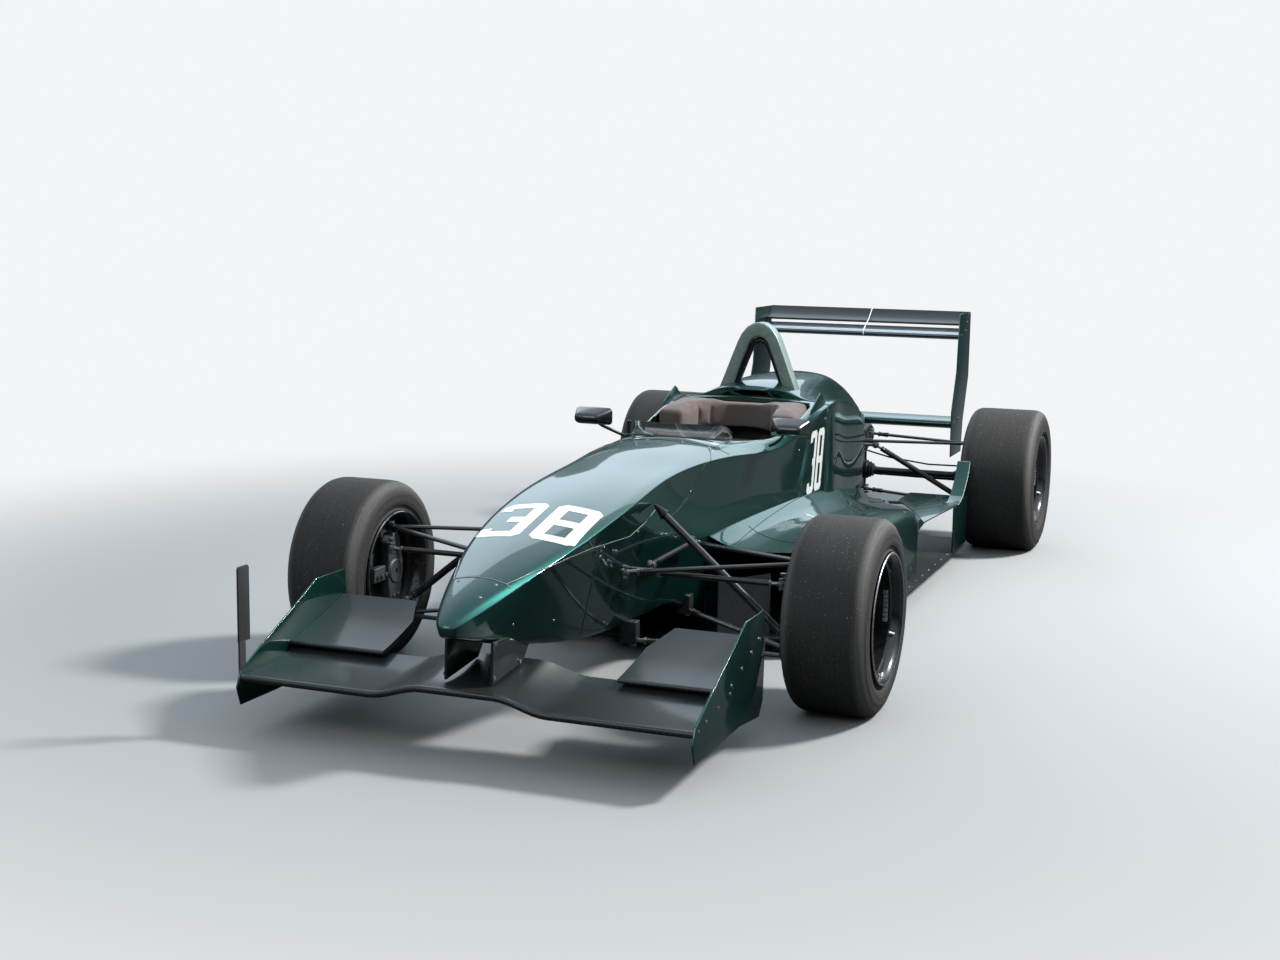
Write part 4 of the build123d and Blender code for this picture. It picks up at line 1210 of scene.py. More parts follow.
def rod_end(form, metal, eye_at, from_point, axis=UP, size=1.0):
    """Adds an eye, its shank and its nuts at eye_at, facing the bar that comes from from_point."""
    run = (from_point - eye_at).normalized()
    merge_into(
        metal, eye(eye_at, axis, 0.0145 * size, 0.007 * size, 0.015 * size),
        bar(eye_at + run * 0.011 * size, eye_at + run * 0.040 * size, 0.006 * size, segments=12),
        nut(eye_at + run * 0.036 * size, run, 0.0105 * size, 0.007 * size),
        nut(eye_at + axis * 0.015 * size, axis, 0.0095 * size, 0.007 * size),
        nut(eye_at - axis * 0.015 * size, axis, 0.0095 * size, 0.007 * size))
    start, end = eye_at + run * 0.040 * size, eye_at + run * 0.075 * size
    merge_into(form, bar(start, end, 0.0095 * size, 0.0075 * size, tip=-0.25))


# %% Front wishbones
UPPER_BALL, LOWER_BALL = (665, 0, 412), (665, 0, 140)
UPPER_WIDE, LOWER_WIDE, ARM_DEEP, ARM_TAPER = 0.013, 0.014, 0.0065, 0.12
FRONT_ARMS = [
    ((174, -182, 378), UPPER_BALL, UPPER_WIDE), ((199, 301, 381), UPPER_BALL, UPPER_WIDE),
    ((142, -30, 148), LOWER_BALL, LOWER_WIDE), ((158, 386, 152), LOWER_BALL, LOWER_WIDE),
]
PUSH_ROD = [(180, 30, 536), (606, -12, 186)]
SIDE_LINK = [(206, -66, 380), (206, 290, 385)]
PUSH_ROD_LUG = (598, -12, 168)
FOOT_BLOCKS = [((132, -30, 172), (0.052, 0.036, 0.066)), ((152, 388, 170), (0.040, 0.040, 0.062))]


def add_arms(form, metal, arms, hand, short_of_ball=0.0, eye_in=0.0):
    for inner, ball, wide in arms:
        start, end = spots((inner, ball), hand)
        run = (end - start).normalized()
        first, last = start + run * 0.07, end - run * short_of_ball
        merge_into(form, bar(first, last, wide, ARM_DEEP, segments=28, tip=ARM_TAPER))
        rod_end(form, metal, start + run * eye_in, end, size=1.05)


def front_corner(side, hand):
    form, metal = bmesh.new(), bmesh.new()
    add_arms(form, metal, FRONT_ARMS, hand, short_of_ball=0.012)
    for ball, depth in ((UPPER_BALL, 0.010), (LOWER_BALL, 0.012)):
        place, half = spots([ball], hand)[0], UP * depth
        merge_into(form, bar(place - half * 1.2, place + half * 0.8, 0.0165, segments=28))
        merge_into(metal, nut(place + half * 1.15, UP, 0.011, 0.008),
                   nut(place - half * 1.45, UP, 0.011, 0.007))
    top, foot = spots(PUSH_ROD, hand)
    run = (foot - top).normalized()
    merge_into(form, bar(top + run * 0.03, foot - run * 0.03, 0.0112, segments=24))
    rod_end(form, metal, foot, top, ALONG_CAR, 1.15)
    merge_into(form, set_by(cone(0.017, 0.004, 0.042, 20), along(top + run * 0.046, top)))
    ahead, behind = spots(SIDE_LINK, hand)
    merge_into(form, bar(ahead, behind, 0.0082, segments=18))
    for place in (ahead, behind):
        merge_into(metal, eye(place, ACROSS_CAR, 0.0135, 0.006, 0.013),
                   nut(place + ACROSS_CAR * 0.012 * hand, ACROSS_CAR, 0.009, 0.007))
    for offset in (-0.016, 0.016):
        lug_at = spots([PUSH_ROD_LUG], hand)[0] + ALONG_CAR * offset
        merge_into(form, move(block((0.034, 0.006, 0.046), 0.002), lug_at))
    for centre, size in FOOT_BLOCKS:
        merge_into(form, move(block(size, 0.005, 3), spots([centre], hand)[0]))
    make_piece(f"front_arms_{side}", form, "satin_black", stands_for=[f"front_wishbones_{side}"])
    make_piece(f"front_rod_ends_{side}", metal, "rod_end_steel")


for side, hand in HANDS.items():
    front_corner(side, hand)
print("front corners made")

# %% Steering rack
RACK_BODY = next(body for body in frame["bodies"] if "rack" in body)
RACK_BACK, RACK_UP, RACK_REACH = -100, 366, 604


def make_rack():
    form, metal = bmesh.new(), bmesh.new()
    for hand in HANDS.values():
        inner, outer = spots([(0, RACK_BACK, RACK_UP), (RACK_REACH, RACK_BACK, RACK_UP)], hand)
        run = (outer - inner).normalized()
        merge_into(form, bar(inner, outer - run * 0.03, 0.0082),
                   bar(inner, inner + run * 0.23, 0.0122, segments=24))
        merge_into(metal, nut(inner + run * 0.245, run, 0.0125, 0.012))
        rod_end(form, metal, outer, inner, size=0.9)
    make_piece("rack_and_track_rods", form, "satin_black", RACK_BODY, ["steering_rack"])
    make_piece("track_rod_ends", metal, "rod_end_steel", RACK_BODY)


make_rack()
print("rack rides on", RACK_BODY)

# %% [markdown]
# The uprights are castings, so their outlines are cut from slabs with round edges. A bearing carrier, a
# steering arm and a four piston caliper are bolted to each.

# %% Slabs and calipers
def plate(corners, thick, round_off, segments):
    """A plate raised by thick from the face between its corners, with all its edges rounded."""
    form = bmesh.new()
    face = form.faces.new([form.verts.new(corner) for corner in corners])
    made = bmesh.ops.extrude_face_region(form, geom=[face])
    bmesh.ops.translate(form, vec=thick, verts=new_items(made, bmesh.types.BMVert))
    bmesh.ops.recalc_face_normals(form, faces=form.faces[:])
    return round_edges(form, round_off, segments)


def slab(outline, x0, x1, round_off):
    """A plate along the car from a (back, up) outline in millimetres."""
    return plate([spot(x0, back, up) for back, up in outline], ((x1 - x0) / 1000, 0, 0), round_off, 3)


def flat(outline, z0, z1, round_off):
    """A level plate from an (across, back) outline in millimetres."""
    return plate([spot(across, back, z0) for across, back in outline], (0, 0, (z1 - z0) / 1000), round_off, 2)


def brick(x0, x1, y0, y1, z0, z1, round_off=0.003, segments=3):
    form = block(((x1 - x0) / 1000, (y1 - y0) / 1000, (z1 - z0) / 1000), round_off, segments)
    return move(form, spot((x0 + x1) / 2, (y0 + y1) / 2, (z0 + z1) / 2))


def caliper(x0, x1, middle, z0, z1, back_side):
    """Two halves on either side of the disc, joined over its edge by three bridges."""
    third, y0, y1 = (x1 - x0) / 3, middle - 25, middle + 25
    form = merge_into(bmesh.new(), brick(x0, x0 + third - 1, y0, y1, z0, z1, 0.006),
                      brick(x1 - third + 1, x1, y0, y1, z0, z1, 0.006))
    bridge = (y0 - 1, y0 + 11) if back_side < 0 else (y1 - 11, y1 + 1)
    for up in (z0 + 10, (z0 + z1) / 2, z1 - 10):
        merge_into(form, brick(x0 + 4, x1 - 4, *bridge, up - 8, up + 8))
    return form


# %% Front knuckles
KNUCKLE_POST = [(22, 160), (34, 200), (40, 240), (38, 320), (28, 372), (20, 394)]
KNUCKLE_CARRIER = [(-28, 8), (-28, 34), (-22, 40), (12, 40), (16, 34), (16, 8)]
STEERING_ARM = [(650, -20), (676, -20), (634, -112), (610, -114), (606, -96)]
KNUCKLE_BOLTS = [(-12, 200), (12, 200), (-14, 350), (14, 350), (-60, 275), (-84, 275)]


def make_knuckle(side, hand):
    body = f"knuckle_{side}"
    outline = KNUCKLE_POST + [(-back, up) for back, up in reversed(KNUCKLE_POST)]
    form = merge_into(
        slab(outline, 650, 682, 0.006), move(turn(KNUCKLE_CARRIER, 40), spot(674, 0, AXLE_HEIGHT["front"])),
        flat(STEERING_ARM, 380, 390, 0.003), brick(660, 682, -108, -30, 252, 298, 0.004))
    make_piece(f"upright_front_{side}", turned_over(form, hand), "cast_magnesium", body, [body])
    clamp = caliper(674, 730, -123, 238, 312, -1)
    make_piece(f"caliper_front_{side}", turned_over(clamp, hand), "caliper_grey", body)
    bolts = nuts_at(648, KNUCKLE_BOLTS, 0.007, 0.006)
    merge_into(bolts, nut(spot(608, -100, 394), UP, 0.009, 0.008))
    make_piece(f"upright_bolts_front_{side}", turned_over(bolts, hand), "rod_end_steel", body)


for side, hand in HANDS.items():
    make_knuckle(side, hand)
print("front uprights made")

# %% Rear corners
REAR_POST = [
    (2642, 152), (2708, 152), (2728, 230), (2758, 262), (2730, 356), (2690, 434), (2642, 434), (2622, 300),
]
REAR_CARRIER = [(-37, 27), (-37, 46), (-31, 52), (10, 52), (12, 46), (12, 27)]
REAR_UPPER_BALL, REAR_LOWER_BALL = (618, 2655, 428), (618, 2665, 170)
REAR_ARMS = [
    ((118, 2480, 436), REAR_UPPER_BALL, UPPER_WIDE), ((118, 2820, 428), REAR_UPPER_BALL, UPPER_WIDE),
    ((104, 2480, 178), REAR_LOWER_BALL, LOWER_WIDE), ((92, 2860, 178), REAR_LOWER_BALL, LOWER_WIDE),
]
REAR_PUSH = [(196, 2640, 402), (584, 2636, 190)]
TOE_LINK = [(112, 2790, 262), (622, 2748, 262)]


def rear_corner(side, hand):
    form, metal = bmesh.new(), bmesh.new()
    add_arms(form, metal, REAR_ARMS, hand, eye_in=0.02)
    for up in (427, 170):
        place = spot(hand * 616, 2657, up)
        merge_into(form, bar(place - UP * 0.012, place + UP * 0.012, 0.015, segments=24))
        merge_into(metal, nut(place + UP * 0.015, UP, 0.011, 0.007))
    for ends, radius, axis in ((REAR_PUSH, 0.011, ALONG_CAR), (TOE_LINK, 0.009, UP)):
        first, last = spots(ends, hand)
        run = (last - first).normalized()
        merge_into(form, bar(first + run * 0.03, last - run * 0.03, radius, segments=22))
        rod_end(form, metal, first, last, axis, 1.1)
        rod_end(form, metal, last, first, axis, 1.1)
    make_piece(f"rear_arms_{side}", form, "satin_black", stands_for=[f"rear_wishbones_{side}"])
    make_piece(f"rear_rod_ends_{side}", metal, "rod_end_steel")


def rear_upright():
    carrier = move(turn(REAR_CARRIER, 44), spot(665, *REAR_AXLE[1:]))
    return merge_into(slab(REAR_POST, 630, 662, 0.006), carrier, brick(640, 664, 2705, 2787, 264, 308, 0.004))


def make_rear_uprights():
    both, clamps = bmesh.new(), bmesh.new()
    add_pair(both, rear_upright)
    add_pair(clamps, caliper, 656, 712, 2798, 250, 326, 1)
    make_piece("rear_upright_castings", both, "cast_magnesium", stands_for=["rear_uprights"])
    make_piece("rear_calipers", clamps, "caliper_grey")


for side, hand in HANDS.items():
    rear_corner(side, hand)
make_rear_uprights()
print("rear corners made")

# %% Drive shafts
SHAFT_PROFILE = [
    (130, 8), (130, 39), (157, 39), (164, 30), (167, 33.5), (171, 33.5), (175, 24), (178, 27.5), (182, 27.5),
    (188, 17), (200, 13), (520, 13), (532, 17), (541, 27.5), (545, 27.5), (549, 33.5), (553, 33.5), (558, 30),
    (564, 37), (618, 37), (622, 21), (724, 21), (724, 8),
]
JOINT_BOLTS = 6

for side, hand in HANDS.items():
    shaft = turn(SHAFT_PROFILE, 40)
    for place in range(JOINT_BOLTS):
        bolt = nut(Vector((0.159, 0, 0.031)), ACROSS_CAR, 0.0055, 0.006)
        merge_into(shaft, rotate(bolt, 360 * place / JOINT_BOLTS, "X"))
    turned_over(move(shaft, spot(*REAR_AXLE)), hand)
    body, node = f"wheel_rear_{side}", f"drive_shaft_{side}"
    make_piece(f"shaft_with_joints_{side}", shaft, "satin_black", body, [node])
print("drive shafts made")

# %% [markdown]
# A wing's section is drawn from five numbers: its two edges, the depth of its belly and the radius of its
# nose. Rings of the same section are placed across the car and bridged, and the front plane's raised middle
# is a soft step between two of them.

# %% Wing helpers
SHARES = [0.0, 0.02, 0.06, 0.13, 0.22, 0.32, 0.43, 0.55, 0.67, 0.78, 0.88, 0.96, 1.0]
TRAILING_HALF, NOSE_STEPS = 1.2, 6


def through(points, share):
    """The height at a share of the chord of the curve through three points."""
    total = 0.0
    for place, (x0, y0) in enumerate(points):
        term = y0
        for other, (x1, _) in enumerate(points):
            if other != place:
                term *= (share - x1) / (x0 - x1)
        total += term
    return total


def aerofoil_ring(across, lead, trail, depth, nose):
    """One closed section of an upside down wing: (back, up) edges in millimetres."""
    lead, trail = Vector(lead), Vector(trail)
    chord = trail - lead
    down = Vector((chord.y, -chord.x)).normalized()
    back = chord.normalized()
    upper = [(0, -nose), (0.45, depth * 0.35 - nose * 0.5), (1, -TRAILING_HALF)]
    lower = [(0, nose), (0.42, depth), (1, TRAILING_HALF)]
    points = [lead + chord * share + down * through(upper, share) for share in SHARES]
    points += [lead + chord * share + down * through(lower, share) for share in reversed(SHARES)]
    for step in range(1, NOSE_STEPS):
        angle = math.pi * step / NOSE_STEPS
        points.append(lead - back * nose * math.sin(angle) + down * nose * math.cos(angle))
    return [spot(across, point.x, point.y) for point in points]


def bridge_rings(rings):
    form = bmesh.new()
    loops = [closed_loop(form, ring)[1] for ring in rings]
    for first, second in zip(loops, loops[1:]):
        bmesh.ops.bridge_loops(form, edges=first + second)
    for loop in (loops[0], loops[-1]):
        bmesh.ops.edgeloop_fill(form, edges=loop)
    bmesh.ops.recalc_face_normals(form, faces=form.faces[:])
    return form


def soft_step(share):
    return share * share * (3 - 2 * share)


# %% Front wing
WING_TIP, RAMP_START, RAMP_END, MIDDLE_LIFT, RAMP_STEPS = 624, 100, 245, 30, 8
MAIN_LEAD, MAIN_TRAIL = (-862, 154), (-590, 186)
FLAP_LEAD, FLAP_TRAIL, FLAP_SPANS = (-628, 196), (-350, 276), (318, 420, 520, WING_TIP)
FLAP_CUTS = [((300, -560), (345, -452)), ((345, -452), (352, -300))]


def make_main_plane():
    ramp = [(RAMP_END - RAMP_START) * step / RAMP_STEPS - RAMP_END for step in range(RAMP_STEPS)]
    places = [-WING_TIP, -430, *ramp, -RAMP_START, 0]
    rings = []
    for across in places + [-place for place in reversed(places[:-1])]:
        share = min(max((RAMP_END - abs(across)) / (RAMP_END - RAMP_START), 0.0), 1.0)
        lift = MIDDLE_LIFT * soft_step(share)
        lead, trail = ((back, up + lift) for back, up in (MAIN_LEAD, MAIN_TRAIL))
        rings.append(aerofoil_ring(across, lead, trail, 26, 9))
    form = bridge_rings(rings)
    make_piece("front_main_plane", form, "carbon_weave", stands_for=["front_wing_main"], sharp=55)


def make_flap():
    form = bridge_rings([aerofoil_ring(across, FLAP_LEAD, FLAP_TRAIL, 16, 6) for across in FLAP_SPANS])
    for start, end in FLAP_CUTS:
        first, last = spot(*start, 0), spot(*end, 0)
        run = last - first
        cut_away(form, first, (run.y, -run.x, 0))
        bmesh.ops.edgeloop_fill(form, edges=[edge for edge in form.edges if edge.is_boundary])
    return form


make_main_plane()
flaps = add_pair(bmesh.new(), make_flap)
make_piece("front_flap_pair", flaps, "carbon_weave", stands_for=["front_flaps"], sharp=55)
print("front wing made")

# %% Front endplates, pylons and timing strut
ENDPLATE_OUTLINE = [
    (-866, 83), (-883, 134), (-864, 173), (-760, 224), (-613, 288), (-489, 347), (-339, 347), (-326, 237),
    (-333, 103), (-364, 66), (-526, 84), (-706, 82),
]
ENDPLATE_BOLTS = [
    (-845, 158), (-790, 168), (-700, 178), (-610, 190), (-600, 208), (-520, 232), (-440, 256), (-372, 276),
]
PYLON_OUTLINE = [(-798, 196), (-618, 214), (-574, 262), (-690, 298), (-793, 304)]
PYLON_BOLTS = [(-790, 212), (-640, 220)]
STRUT_POST = [(-860, 90), (-832, 90), (-832, 250), (-860, 250)]
STRUT_BOX = [(-862, 246), (-811, 246), (-811, 440), (-817, 446), (-858, 446), (-862, 440)]
STRUT_BOLTS = [(-846, 110), (-846, 170), (-846, 238), (-836, 268), (-836, 424)]


def front_wing_bolts():
    return merge_into(nuts_at(629.2, ENDPLATE_BOLTS, 0.0055, 0.0035), nuts_at(69, PYLON_BOLTS, 0.0065, 0.005))


def make_front_plates():
    plates = add_pair(bmesh.new(), slab, ENDPLATE_OUTLINE, 624.6, 629.4, 0.001)
    pylons = add_pair(bmesh.new(), slab, PYLON_OUTLINE, 60, 68, 0.002)
    make_piece("front_endplate_pair", plates, "green_paint", stands_for=["front_endplates"])
    make_piece("wing_bolts", add_pair(bmesh.new(), front_wing_bolts), "rod_end_steel")
    make_piece("pylon_pair", pylons, "carbon_weave", stands_for=["wing_pylons"])


def make_timing_strut():
    form = merge_into(slab(STRUT_POST, -635.5, -629.6, 0.0012), slab(STRUT_BOX, -635.4, -629.7, 0.0012))
    make_piece("timing_beacon_strut", form, "matt_black", stands_for=["timing_strut"])
    make_piece("timing_strut_bolts", nuts_at(-636, STRUT_BOLTS, 0.006, 0.003), "rod_end_steel")


make_front_plates()
make_timing_strut()
print("front plates made")

# %% Rear wing
REAR_SPANS = (-460, 0, 460)
REAR_PLANES = [
    ("rear_main_plane", "grey_paint", "rear_wing_main", (3014, 848), (3160, 874), 26, 9),
    ("rear_flap_plane", "carbon_weave", "rear_wing_flap", (3152, 892), (3236, 945), 12, 5),
    ("rear_beam_plane", "green_paint", "rear_beam_wing", (2924, 474), (3060, 492), 30, 14),
]
REAR_OUTLINE = [
    (2998, 946), (3239, 944), (3239, 660), (3150, 470), (3130, 332), (2906, 332), (2896, 530), (2976, 700),
]
REAR_BOLTS = [(3030, 852), (3130, 868), (3165, 902), (3222, 934), (2950, 478), (3040, 488)]
TIE_LINE = [(36, 3008, 838), (34, 3003, 848), (33, 3008, 860), (22, 3150, 904), (16, 3238, 950)]


def make_rear_wing():
    for name, slot, node, *shape in REAR_PLANES:
        form = bridge_rings([aerofoil_ring(across, *shape) for across in REAR_SPANS])
        make_piece(name, form, slot, stands_for=[node], sharp=55)
    plates = add_pair(bmesh.new(), slab, REAR_OUTLINE, 460.8, 465.3, 0.001)
    bolts = add_pair(bmesh.new(), nuts_at, 465.6, REAR_BOLTS, 0.0065, 0.004)
    make_piece("rear_endplate_pair", plates, "green_paint", stands_for=["rear_endplates"])
    make_piece("rear_wing_bolts", bolts, "rod_end_steel")
    make_piece("wing_tie_strip", pipe(spots(TIE_LINE), 0.0022, 10), "white_plastic", sharp=60)


make_rear_wing()
print("rear wing made")

# %% [markdown]
# The cockpit is open, so all of it is made: a carbon seat, a harness of flat webbing, the suede wheel with
# its grips and buttons, the head padding, the roll hoop with its tube, and the low clear screen.

# %% Seat and harness
SEAT_LINE = [
    (938, 156), (1000, 134), (1080, 110), (1178, 90), (1250, 90), (1318, 100), (1345, 190), (1380, 320),
    (1415, 450), (1440, 552),
]
SEAT_HALF, CHEEK, THIGH_LIFT, LOW_LIFT = 160, 14, 70, 42
WEB_WIDTH, WEB_THICK = 0.046, 0.0022
SHOULDER_BELT = [
    (88, 1448, 575), (86, 1420, 560), (82, 1388, 450), (76, 1352, 320), (60, 1318, 220), (36, 1270, 165),
    (12, 1225, 140),
]
LAP_BELT = [(150, 1300, 130), (120, 1262, 128), (70, 1228, 130), (20, 1212, 134)]
CROTCH_BELT = [(0, 1205, 132), (0, 1160, 112), (0, 1120, 106)]
BUCKLE = [(0, 2), (0, 30), (4, 34), (16, 34), (20, 28), (20, 2)]


def run_at(line, place):
    """The direction of a line of points at one of them."""
    return (Vector(line[min(place + 1, len(line) - 1)]) - Vector(line[max(place - 1, 0)])).normalized()


def make_seat():
    sections = []
    for place, (back, up) in enumerate(SEAT_LINE):
        run = run_at(SEAT_LINE, place)
        inward = Vector((-run.y, run.x))
        lift = THIGH_LIFT if 2 <= place <= 7 else LOW_LIFT
        columns = [(0, 0), (80, 3), (128, 12), (150, 30), (SEAT_HALF + 8, lift)]
        columns += [(SEAT_HALF + CHEEK, lift + 4)]
        sections.append([spot(x, back + inward.x * rise, up + inward.y * rise) for x, rise in columns])
    piece = make_piece("seat_shell", build_cage(sections), "carbon_weave", stands_for=["seat"])
    subdivide(piece, 2)
    thicken(piece, 0.008)
    settle(piece)


def belt(points, across_dir, width=WEB_WIDTH):
    """Flat webbing through a line of points, its width along across_dir."""
    half = Vector(across_dir).normalized() * width / 2
    form = bmesh.new()
    verts = [[form.verts.new(point - half), form.verts.new(point + half)] for point in points]
    for (first, second), (third, fourth) in zip(verts, verts[1:]):
        form.faces.new((first, second, fourth, third))
    bmesh.ops.recalc_face_normals(form, faces=form.faces[:])
    bmesh.ops.solidify(form, geom=form.faces[:], thickness=WEB_THICK)
    return form


def make_harness():
    webbing, metal = bmesh.new(), bmesh.new()
    for hand in HANDS.values():
        merge_into(webbing, belt(spots(SHOULDER_BELT, hand), (1, 0.12 * hand, 0)))
        merge_into(webbing, belt(spots(LAP_BELT, hand), (0.1 * hand, 0.7, 0.7)))
        merge_into(metal, brick(hand * 80 - 26, hand * 80 + 26, 1374, 1386, 420, 448),
                   brick(hand * 58 - 18, hand * 58 + 18, 1222, 1234, 118, 150))
    merge_into(webbing, belt(spots(CROTCH_BELT), (1, 0, 0), 0.04))
    buckle = rotate(rotate(turn(BUCKLE, 32), -62, "Y"), -90, "Z")
    merge_into(metal, move(buckle, spot(0, 1222, 134)))
    make_piece("harness_webbing", webbing, "webbing")
    make_piece("harness_buckles", metal, "rod_end_steel")


make_seat()
make_harness()
print("seat and harness made")

# %% [markdown]
# The padding is foam under a taupe cover. Its outline is the opening's own, drawn in a little, so it sits
# inside the rim. The pad is swelled by a short cloth simulation, which rounds its edges and pulls its cover
# into soft folds.

# %% Head padding
PAD_FRONT, PAD_LOW, PAD_HIGH, PAD_INSET = 1196, 594, 694, 7
PAD_INNER = [(0, 1414), (60, 1404), (112, 1374), (146, 1328), (158, 1260), (166, PAD_FRONT)]
FRONT_DROP, DROP_LENGTH = 0.022, 0.09
PAD_VOXEL, PAD_PRESSURE, PAD_TRAVEL, CLOTH_FRAMES = 0.006, 3.0, 0.006, 20


def pad_outline():
    outer = [(across - PAD_INSET, back) for across, back in OPENING if PAD_FRONT < back < COCKPIT_REAR]
    back = [(226, COCKPIT_REAR - 8), (120, COCKPIT_REAR - 6), (0, COCKPIT_REAR - 6)]
    return [(253, PAD_FRONT)] + outer + back


def make_padding():
    form = bmesh.new()
    half = pad_outline() + PAD_INNER
    rings = [[form.verts.new(spot(hand * across, back, PAD_LOW)) for across, back in half]
             for hand in HANDS.values()]
    for ring in rings:
        made = bmesh.ops.extrude_face_region(form, geom=[form.faces.new(ring)])
        top = new_items(made, bmesh.types.BMVert)
        bmesh.ops.translate(form, vec=(0, 0, (PAD_HIGH - PAD_LOW) / 1000), verts=top)
    bmesh.ops.remove_doubles(form, verts=form.verts[:], dist=1e-5)
    inner_walls = [face for face in form.faces if all(abs(vert.co.x) < 1e-5 for vert in face.verts)]
    bmesh.ops.delete(form, geom=inner_walls, context="FACES")
    for vert in form.verts:
        if vert.co.z > (PAD_HIGH - 10) / 1000:
            slope = min(max((vert.co.y - spot(0, PAD_FRONT, 0).y) / DROP_LENGTH, 0.0), 1.0)
            vert.co.z -= FRONT_DROP * (1 - slope)
    bmesh.ops.recalc_face_normals(form, faces=form.faces[:])
    piece = make_piece("head_padding", form, "taupe_cloth", stands_for=["cockpit_padding"])
    bevel_corners(piece, 0.012, 3)
    settle(piece, 60)
    swell(piece)


def swell(piece):
    """Remeshes the pad, lets cloth swell it for a few frames, and caps how far any point travels."""
    modify(piece, "REMESH", mode="VOXEL", voxel_size=PAD_VOXEL)
    settle(piece, 60)
    before = [vert.co.copy() for vert in piece.data.vertices]
    cloth = piece.modifiers.new("cloth", "CLOTH")
    cloth.settings.use_pressure = True
    cloth.settings.uniform_pressure_force = PAD_PRESSURE
    cloth.settings.effector_weights.gravity = 0.0
    for step in range(1, CLOTH_FRAMES + 1):
        bpy.context.scene.frame_set(step)
    graph = bpy.context.evaluated_depsgraph_get()
    moved = [vert.co.copy() for vert in piece.evaluated_get(graph).data.vertices]
    piece.modifiers.clear()
    for vert, start, end in zip(piece.data.vertices, before, moved):
        travel = end - start
        vert.co = start + (travel if travel.length < PAD_TRAVEL else travel.normalized() * PAD_TRAVEL)
    bpy.context.scene.frame_set(1)
    modify(piece, "SMOOTH", factor=0.5, iterations=3)
    settle(piece, 80)


make_padding()
print("padding made")

# %% Steering wheel
WHEEL_AT, WHEEL_TILT, GRIP_RADIUS, WHEEL_RADIUS = (0, 905, 535), 13, 12, 112
ARC_START, ARC_STEPS, FLAT_STEPS, GRIP_SIDES, GRIP_DEPTH = math.radians(-52), 36, 5, 12, 1.15


def wheel_place():
    """From the wheel's own plane, X across and Y up, to its place on the column."""
    turned = Matrix.Rotation(math.radians(90 - WHEEL_TILT), 4, "X") @ Matrix.Rotation(math.pi, 4, "Y")
    return Matrix.Translation(spot(*WHEEL_AT)) @ turned


def grip_path():
    """The middle line of the rim: a long arc closed by a flat bottom."""
    angles = [ARC_START + (math.pi - 2 * ARC_START) * step / ARC_STEPS for step in range(ARC_STEPS + 1)]
    path = [Vector((math.cos(angle) * WHEEL_RADIUS, math.sin(angle) * WHEEL_RADIUS, 0)) for angle in angles]
    first, last = path[0], path[-1]
    path += [Vector((last.x * (1 - step / FLAT_STEPS), first.y, 0)) for step in range(1, FLAT_STEPS)]
    return path + [Vector((first.x * (step / FLAT_STEPS), first.y, 0)) for step in range(1, FLAT_STEPS)]


def make_grip():
    rim = bmesh.new()
    path = grip_path()
    loops = []
    for place, centre in enumerate(path):
        run = (path[(place + 1) % len(path)] - path[place - 1]).normalized()
        outward, ring = Vector((run.y, -run.x, 0)), []
        for step in range(GRIP_SIDES):
            angle = math.tau * step / GRIP_SIDES
            point = centre + outward * GRIP_RADIUS * math.cos(angle)
            ring.append((point + UP * GRIP_RADIUS * GRIP_DEPTH * math.sin(angle)) / 1000)
        loops.append(closed_loop(rim, ring)[1])
    for place in range(len(path)):
        bmesh.ops.bridge_loops(rim, edges=loops[place - 1] + loops[place])
    return set_by(rim, wheel_place())


def wheel_brick(x0, x1, y0, y1, z0, z1):
    form = block(((x1 - x0) / 1000, (y1 - y0) / 1000, (z1 - z0) / 1000), 0.003)
    return set_by(move(form, Vector(((x0 + x1) / 2, (y0 + y1) / 2, (z0 + z1) / 2)) / 1000), wheel_place())


def make_wheel():
    make_piece("wheel_grip", make_grip(), "suede", "hand_wheel", ["steering_wheel"], sharp=70)
    boss = set_by(cone(0.038, 0.034, 0.02, 32), wheel_place())
    hub = merge_into(wheel_brick(-104, 104, -20, 22, -5, 4), wheel_brick(-24, 24, -84, -10, -5, 4), boss)
    knobs = bmesh.new()
    for across in (-82, -64, 64, 82):
        merge_into(knobs, wheel_brick(across - 5, across + 5, -6, 8, 3, 10))
    for across in (-44, 44):
        merge_into(knobs, wheel_brick(across - 7, across + 7, -8, 6, 3, 8))
    make_piece("wheel_centre", hub, "carbon_plain", "hand_wheel")
    make_piece("wheel_buttons", knobs, "rod_end_steel", "hand_wheel")


make_wheel()
print("steering wheel made")

# %% Roll hoop
HOOP_OUTER = [(152, 716), (128, 776), (106, 834), (80, 900), (66, 928), (44, 954), (20, 968), (0, 971)]
HOOP_INNER = [(104, 716), (84, 774), (62, 832), (44, 876), (36, 898), (22, 912), (8, 918), (0, 919)]
HOOP_TUBE = [(96, 716), (76, 772), (54, 830), (36, 874), (22, 896), (0, 904)]
HOOP_FRONT, HOOP_MIDDLE, HOOP_BACK = 1563, 1593, 1623


def arch(half, back):
    """Points of an arch from one foot over its top to the other foot."""
    whole = half + [(-across, up) for across, up in reversed(half[:-1])]
    return [spot(across, back, up) for across, up in whole]


